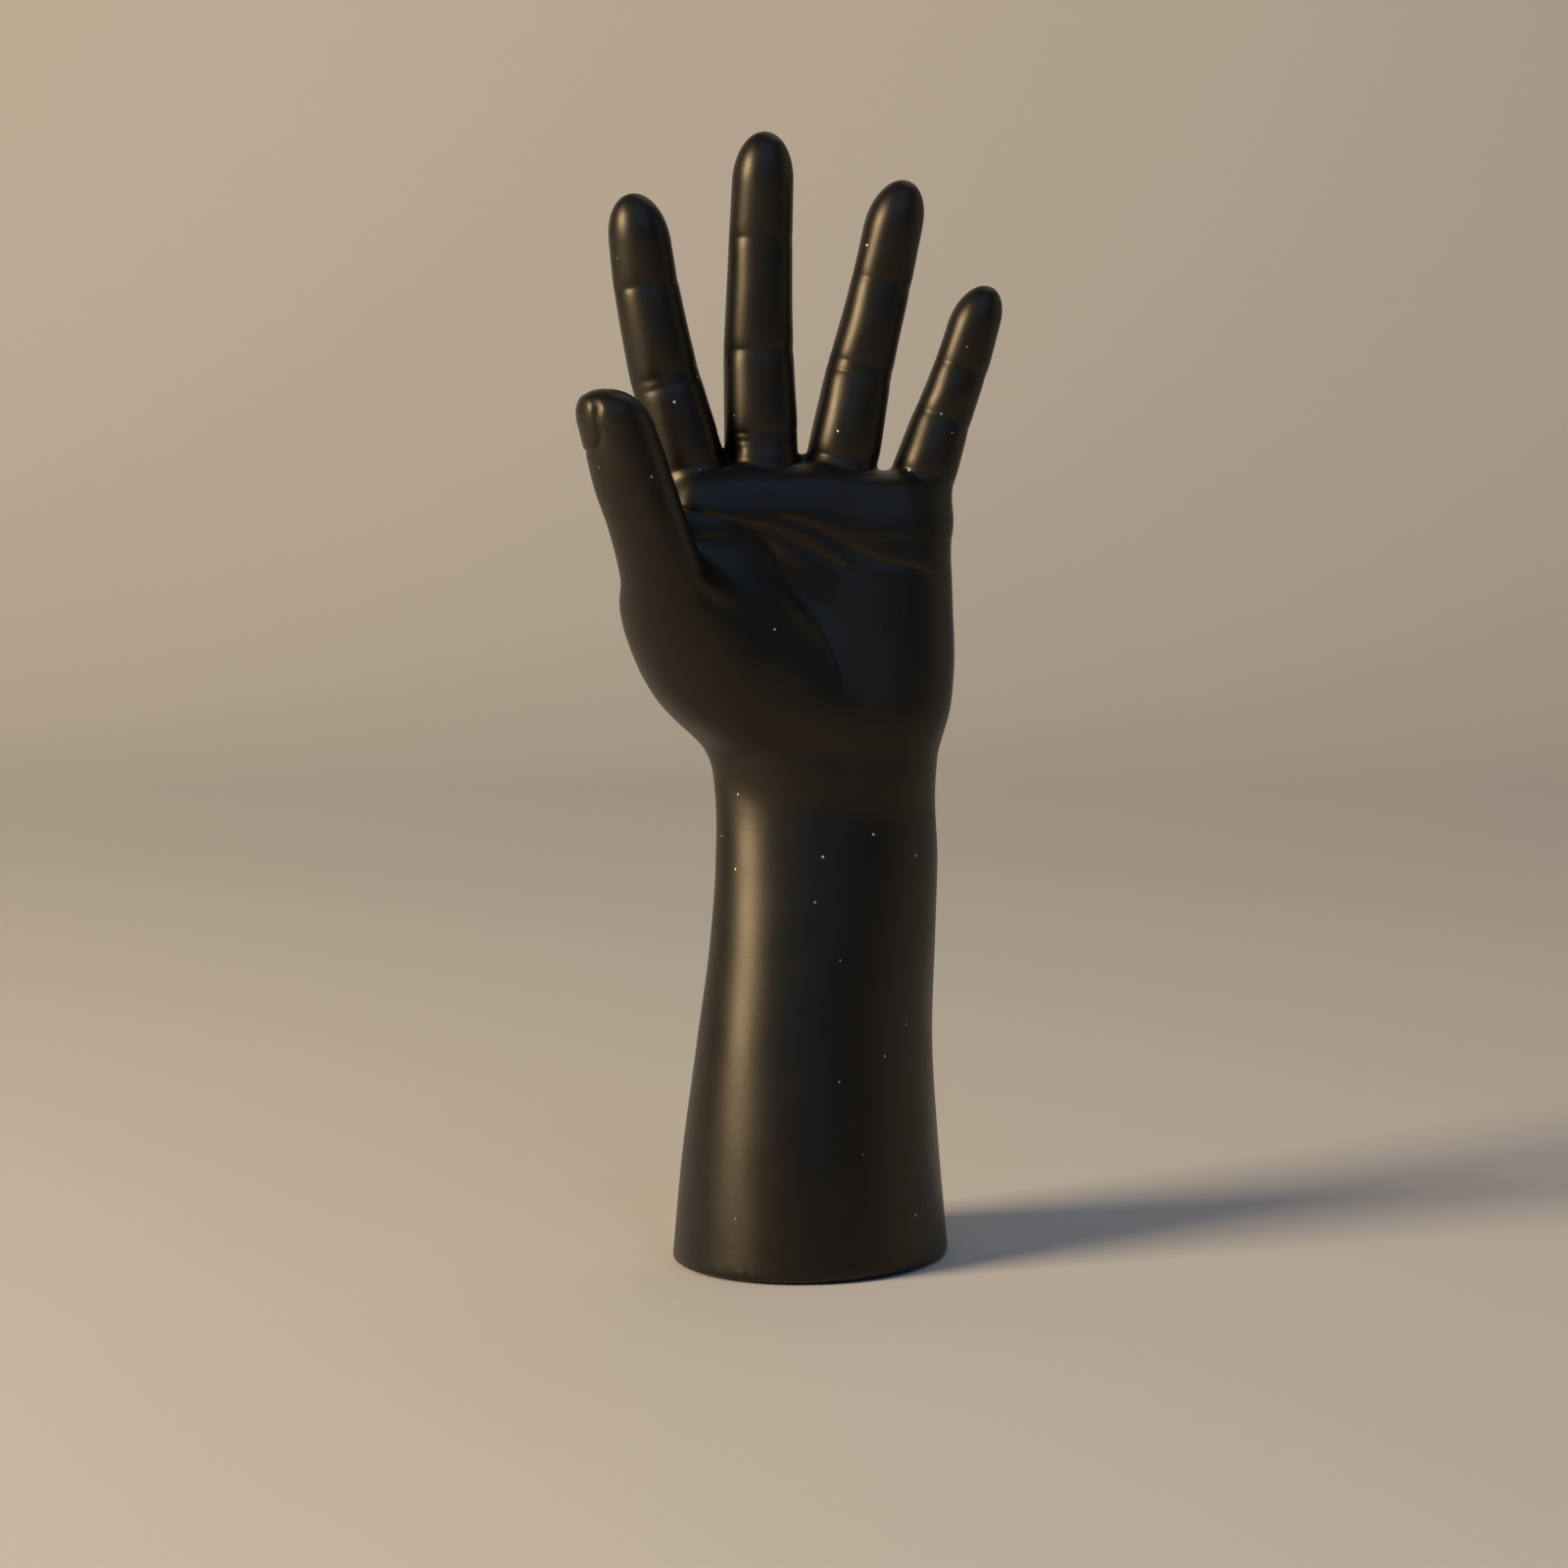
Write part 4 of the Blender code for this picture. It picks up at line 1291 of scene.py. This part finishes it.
@dataclass(frozen=True)
class PressedFelt(Finish):
    """Pressed wool felt, die cut: dull, with short tangled fibres that catch a little light.

    Single fibres are too fine to show, so the tangle is drawn as coarse as their tufts.
    """

    name: str = "pressed_black_felt"
    base: str = "1d1c1d"
    fibre: str = "3a3838"
    tuft_mm: float = 0.9

    def inputs(self, m: bpy.types.Material, place: bpy.types.NodeSocket) -> dict:
        """One tangle that sets tone and height.

        Args:
            m: the material to add nodes to.
            place: the object's coordinates.

        Returns:
            Sockets and values for the shader, by input name.
        """
        look = {"Scale": 1 / (self.tuft_mm * MM), "Detail": 6.0, "Roughness": 0.75, "Distortion": 1.5}
        tangle = add(m, "TexNoise", {"Vector": place, **look}).outputs["Fac"]
        tones = {MIX_FIRST: linear(self.base), MIX_SECOND: linear(self.fibre)}
        tone = add(m, "Mix", {"Factor": tangle, **tones}, data_type="RGBA")
        bump = add(m, "Bump", {"Height": tangle, "Strength": 0.6, "Distance": 0.4 * MM})
        return {
            "Base Color": tone.outputs[MIX_OUT],
            "Roughness": 0.95,
            "Normal": bump.outputs["Normal"],
            "Sheen Weight": 0.4,
            "Sheen Roughness": 0.5,
        }


@dataclass(frozen=True)
class DrawnSteel(Finish):
    """Bright drawn steel with the long lines that the die leaves, drawn coarse enough to show."""

    name: str = "drawn_bright_steel"
    base: str = "b9b8b4"
    line_mm: float = 0.35
    stretch: float = 0.05

    def inputs(self, m: bpy.types.Material, place: bpy.types.NodeSocket) -> dict:
        """Noise drawn out along the wire, for gloss and height.

        Args:
            m: the material to add nodes to.
            place: the object's coordinates.

        Returns:
            Sockets and values for the shader, by input name.
        """
        drawn = add(m, "Mapping", {"Vector": place, "Scale": (1.0, 1.0, self.stretch)}).outputs["Vector"]
        noise = add(m, "TexNoise", {"Vector": drawn, "Scale": 1 / (self.line_mm * MM), "Detail": 3.0})
        lines = noise.outputs["Fac"]
        rough = add(m, "MapRange", {"Value": lines, "To Min": 0.24, "To Max": 0.42})
        bump = add(m, "Bump", {"Height": lines, "Strength": 0.15, "Distance": 0.1 * MM})
        return {
            "Base Color": linear(self.base),
            "Metallic": 1.0,
            "Roughness": rough.outputs["Result"],
            "Normal": bump.outputs["Normal"],
        }


@dataclass(frozen=True)
class GreyIron(Finish):
    """Sand-cast grey iron: dark, matt and grainy, with brown stains."""

    name: str = "sand_cast_grey_iron"
    base: str = "4a4846"
    rust: str = "5a4639"
    grain_mm: float = 1.1
    stain_mm: float = 12.0

    def inputs(self, m: bpy.types.Material, place: bpy.types.NodeSocket) -> dict:
        """Stained tone and the sand's grain.

        Args:
            m: the material to add nodes to.
            place: the object's coordinates.

        Returns:
            Sockets and values for the shader, by input name.
        """
        grain = add(m, "TexNoise", {"Vector": place, "Scale": 1 / (self.grain_mm * MM), "Detail": 5.0})
        stain = add(m, "TexNoise", {"Vector": place, "Scale": 1 / (self.stain_mm * MM), "Detail": 3.0})
        spread = add(m, "MapRange", {"Value": stain.outputs["Fac"], "From Min": 0.55, "From Max": 0.75})
        tones = {MIX_FIRST: linear(self.base), MIX_SECOND: linear(self.rust)}
        tone = add(m, "Mix", {"Factor": spread.outputs["Result"], **tones}, data_type="RGBA")
        bump = add(m, "Bump", {"Height": grain.outputs["Fac"], "Strength": 0.5, "Distance": 0.4 * MM})
        return {
            "Base Color": tone.outputs[MIX_OUT],
            "Metallic": 0.7,
            "Roughness": 0.68,
            "Normal": bump.outputs["Normal"],
        }


@dataclass(frozen=True)
class BirchPly(Finish):
    """Sawn birch plywood: pale veneers with darker glue lines on the edge and fine grain on the face."""

    name: str = "sawn_birch_plywood"
    pale: str = "d9bd92"
    dark: str = "b08d60"
    veneer_mm: float = 1.4
    grain_mm: float = 1.6
    stretch: float = 0.06

    def inputs(self, m: bpy.types.Material, place: bpy.types.NodeSocket) -> dict:
        """Level bands of veneer times noise drawn out along the grain.

        Args:
            m: the material to add nodes to.
            place: the object's coordinates.

        Returns:
            Sockets and values for the shader, by input name.
        """
        look = {"Scale": 0.314 / (self.veneer_mm * MM), "Distortion": 0.4}
        layers = add(m, "TexWave", {"Vector": place, **look}, bands_direction="Z").outputs["Fac"]
        along = add(m, "Mapping", {"Vector": place, "Scale": (self.stretch, 1.0, 1.0)}).outputs["Vector"]
        noise = add(m, "TexNoise", {"Vector": along, "Scale": 1 / (self.grain_mm * MM), "Detail": 4.0})
        grain = noise.outputs["Fac"]
        both = add(m, "Math", {0: layers, 1: grain}, operation="MULTIPLY")
        tones = {MIX_FIRST: linear(self.dark), MIX_SECOND: linear(self.pale)}
        tone = add(m, "Mix", {"Factor": both.outputs["Value"], **tones}, data_type="RGBA")
        bump = add(m, "Bump", {"Height": grain, "Strength": 0.2, "Distance": 0.2 * MM})
        return {"Base Color": tone.outputs[MIX_OUT], "Roughness": 0.62, "Normal": bump.outputs["Normal"]}


@dataclass(frozen=True)
class SweepPaint(Finish):
    """Rolled matt paint of the studio's sweep, pale with a faint tooth."""

    name: str = "painted_studio_sweep"
    base: str = "c2beb6"
    tooth_mm: float = 2.5

    def inputs(self, m: bpy.types.Material, place: bpy.types.NodeSocket) -> dict:
        """A plain tone with the roller's tooth as height.

        Args:
            m: the material to add nodes to.
            place: the object's coordinates.

        Returns:
            Sockets and values for the shader, by input name.
        """
        tooth = add(m, "TexNoise", {"Vector": place, "Scale": 1 / (self.tooth_mm * MM)})
        bump = add(m, "Bump", {"Height": tooth.outputs["Fac"], "Strength": 0.03})
        return {"Base Color": linear(self.base), "Roughness": 0.9, "Normal": bump.outputs["Normal"]}


@dataclass(frozen=True)
class Lamp:
    """A square soft lamp.

    Attributes:
        name: the lamp's name.
        at: its place in metres.
        size: its side in metres.
        power: its power in watts.
        colour: its light.
    """

    name: str
    at: tuple[float, float, float]
    size: float
    power: float
    colour: str

    def hang(self, aim: tuple[float, float, float]) -> None:
        """Put the lamp in its place.

        Args:
            aim: what it looks at, in metres.
        """
        data = bpy.data.lights.new(self.name, "AREA")
        data.size = self.size
        data.energy = self.power
        data.color = linear(self.colour)[:3]
        item = bpy.data.objects.new(self.name, data)
        item.location = self.at
        item.rotation_euler = (Vector(aim) - Vector(self.at)).to_track_quat("-Z", "Y").to_euler()
        bpy.context.scene.collection.objects.link(item)


@dataclass(frozen=True)
class Studio:
    """Pale sweep of floor and backdrop, soft lamps and the camera, in metres.

    Attributes:
        finish: paint of the sweep.
        front: where the floor starts, along the camera's heading.
        foot: where it starts to bend up.
        curve: radius of the bend.
        wall: height of the backdrop above the bend.
        half_width: half the sweep's breadth.
        rows: rows of points along the sweep.
        sky: colour of the light from all round.
        sky_strength: its strength.
        aim: what the lamps look at.
        lamps: the lamps.
        camera_at: the camera's place.
        heading: turn of the camera about the vertical, in degrees.
        pitch: how far it looks down, in degrees.
        lens: focal length in millimetres.
        sensor: width of the sensor in millimetres.
    """

    finish: Finish = SweepPaint()
    front: float = -6.0
    foot: float = 1.2
    curve: float = 0.8
    wall: float = 2.0
    half_width: float = 7.0
    rows: int = 40
    sky: str = "d2d8e2"
    sky_strength: float = 0.13
    aim: tuple[float, float, float] = (0.0, 0.0, 0.17)
    lamps: tuple[Lamp, ...] = (
        Lamp("key", (-2.34, -0.66, 1.06), 1.0, 118.0, "ffe6c2"),
        Lamp("fill", (0.1, -1.9, 1.85), 2.4, 16.0, "82b6ff"),
        Lamp("side", (1.5, -0.1, 0.6), 1.2, 1.4, "ffe9cc"),
        Lamp("backdrop", (0.9, 0.9, 1.9), 1.2, 3.0, "fff6ea"),
    )
    camera_at: tuple[float, float, float] = (-0.25427, -1.16019, 0.2548)
    heading: float = -12.0
    pitch: float = 5.92
    lens: float = 99.6
    sensor: float = 36.0

    def sweep(self) -> bpy.types.Object:
        """Make the floor and backdrop as one sheet.

        A flat run, a quarter round and an upright, drawn across by the breadth and turned to the
        camera's heading.

        Returns:
            The sheet.
        """
        flat, bent = 0.4, 0.7
        t = np.linspace(0.0, 1.0, self.rows)
        bend = np.clip((t - flat) / (bent - flat), 0.0, 1.0) * np.pi / 2
        upright = np.clip((t - bent) / (1.0 - bent), 0.0, 1.0) * self.wall
        ahead = self.front + t / flat * (self.foot - self.front)
        run = np.where(t < flat, ahead, self.foot + self.curve * np.sin(bend))
        rise = np.where(t < flat, 0.0, self.curve * (1 - np.cos(bend)) + upright)
        turn = math.radians(-self.heading)
        side = np.array([-self.half_width, self.half_width])[:, None]
        x = side * math.cos(turn) + run * math.sin(turn)
        y = -side * math.sin(turn) + run * math.cos(turn)
        sheet = np.stack([x, y, np.broadcast_to(rise, x.shape)], -1).reshape(-1, 3)
        k = np.arange(self.rows - 1)
        faces = np.column_stack([k, self.rows + k, self.rows + k + 1, k + 1])
        return piece("studio_floor", sheet / MM, faces)

    def camera(self) -> None:
        """Stand the camera at its place."""
        data = bpy.data.cameras.new("camera")
        data.lens = self.lens
        data.sensor_width = self.sensor
        data.clip_end = 20.0
        camera = bpy.data.objects.new("camera", data)
        camera.location = self.camera_at
        camera.rotation_euler = (math.radians(90.0 - self.pitch), 0.0, math.radians(self.heading))
        bpy.context.scene.collection.objects.link(camera)
        bpy.context.scene.camera = camera

    def build(self) -> None:
        """Set up floor, backdrop, lamps, world and camera."""
        floor = self.sweep()
        paint(floor, self.finish.make())
        for lamp in self.lamps:
            lamp.hang(self.aim)
        world = bpy.data.worlds.new("studio")
        world.use_nodes = True
        sky = world.node_tree.nodes["Background"].inputs
        sky["Color"].default_value = linear(self.sky)
        sky["Strength"].default_value = self.sky_strength
        bpy.context.scene.world = world
        bpy.context.scene.view_settings.view_transform = "Standard"
        self.camera()


def paint(item: bpy.types.Object, material: bpy.types.Material) -> None:
    """Give a piece one material all over."""
    item.data.materials.clear()
    item.data.materials.append(material)


def main() -> None:
    """Dress the hand and set up the studio."""
    logging.basicConfig(level=logging.INFO, format="%(name)s: %(message)s")
    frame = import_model()
    finishes = {
        Slot.RESIN: SatinResin().make(),
        Slot.FELT: PressedFelt().make(),
        Slot.STEEL: DrawnSteel().make(),
        Slot.IRON: GreyIron().make(),
        Slot.PLY: BirchPly().make(),
    }
    slots = {part["node"]: Slot(part["material_slot"]) for part in frame["record"]["subparts"]}
    for name, node in frame["nodes"].items():
        paint(node, finishes[slots[name]])
        LOG.info("dressed %s in %s", name, slots[name].value)
    skin = HandSkin()
    hand = skin.build()
    felt = FeltFoot().build(skin.trunk)
    for item, node, slot in ((hand, "hand_shell", Slot.RESIN), (felt, "felt_pad", Slot.FELT)):
        paint(item, finishes[slot])
        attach(item, ROOT)
        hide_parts(node)
        LOG.info("%s stands for %s", item.name, node)
    Studio().build()


if __name__ == "__main__":
    main()
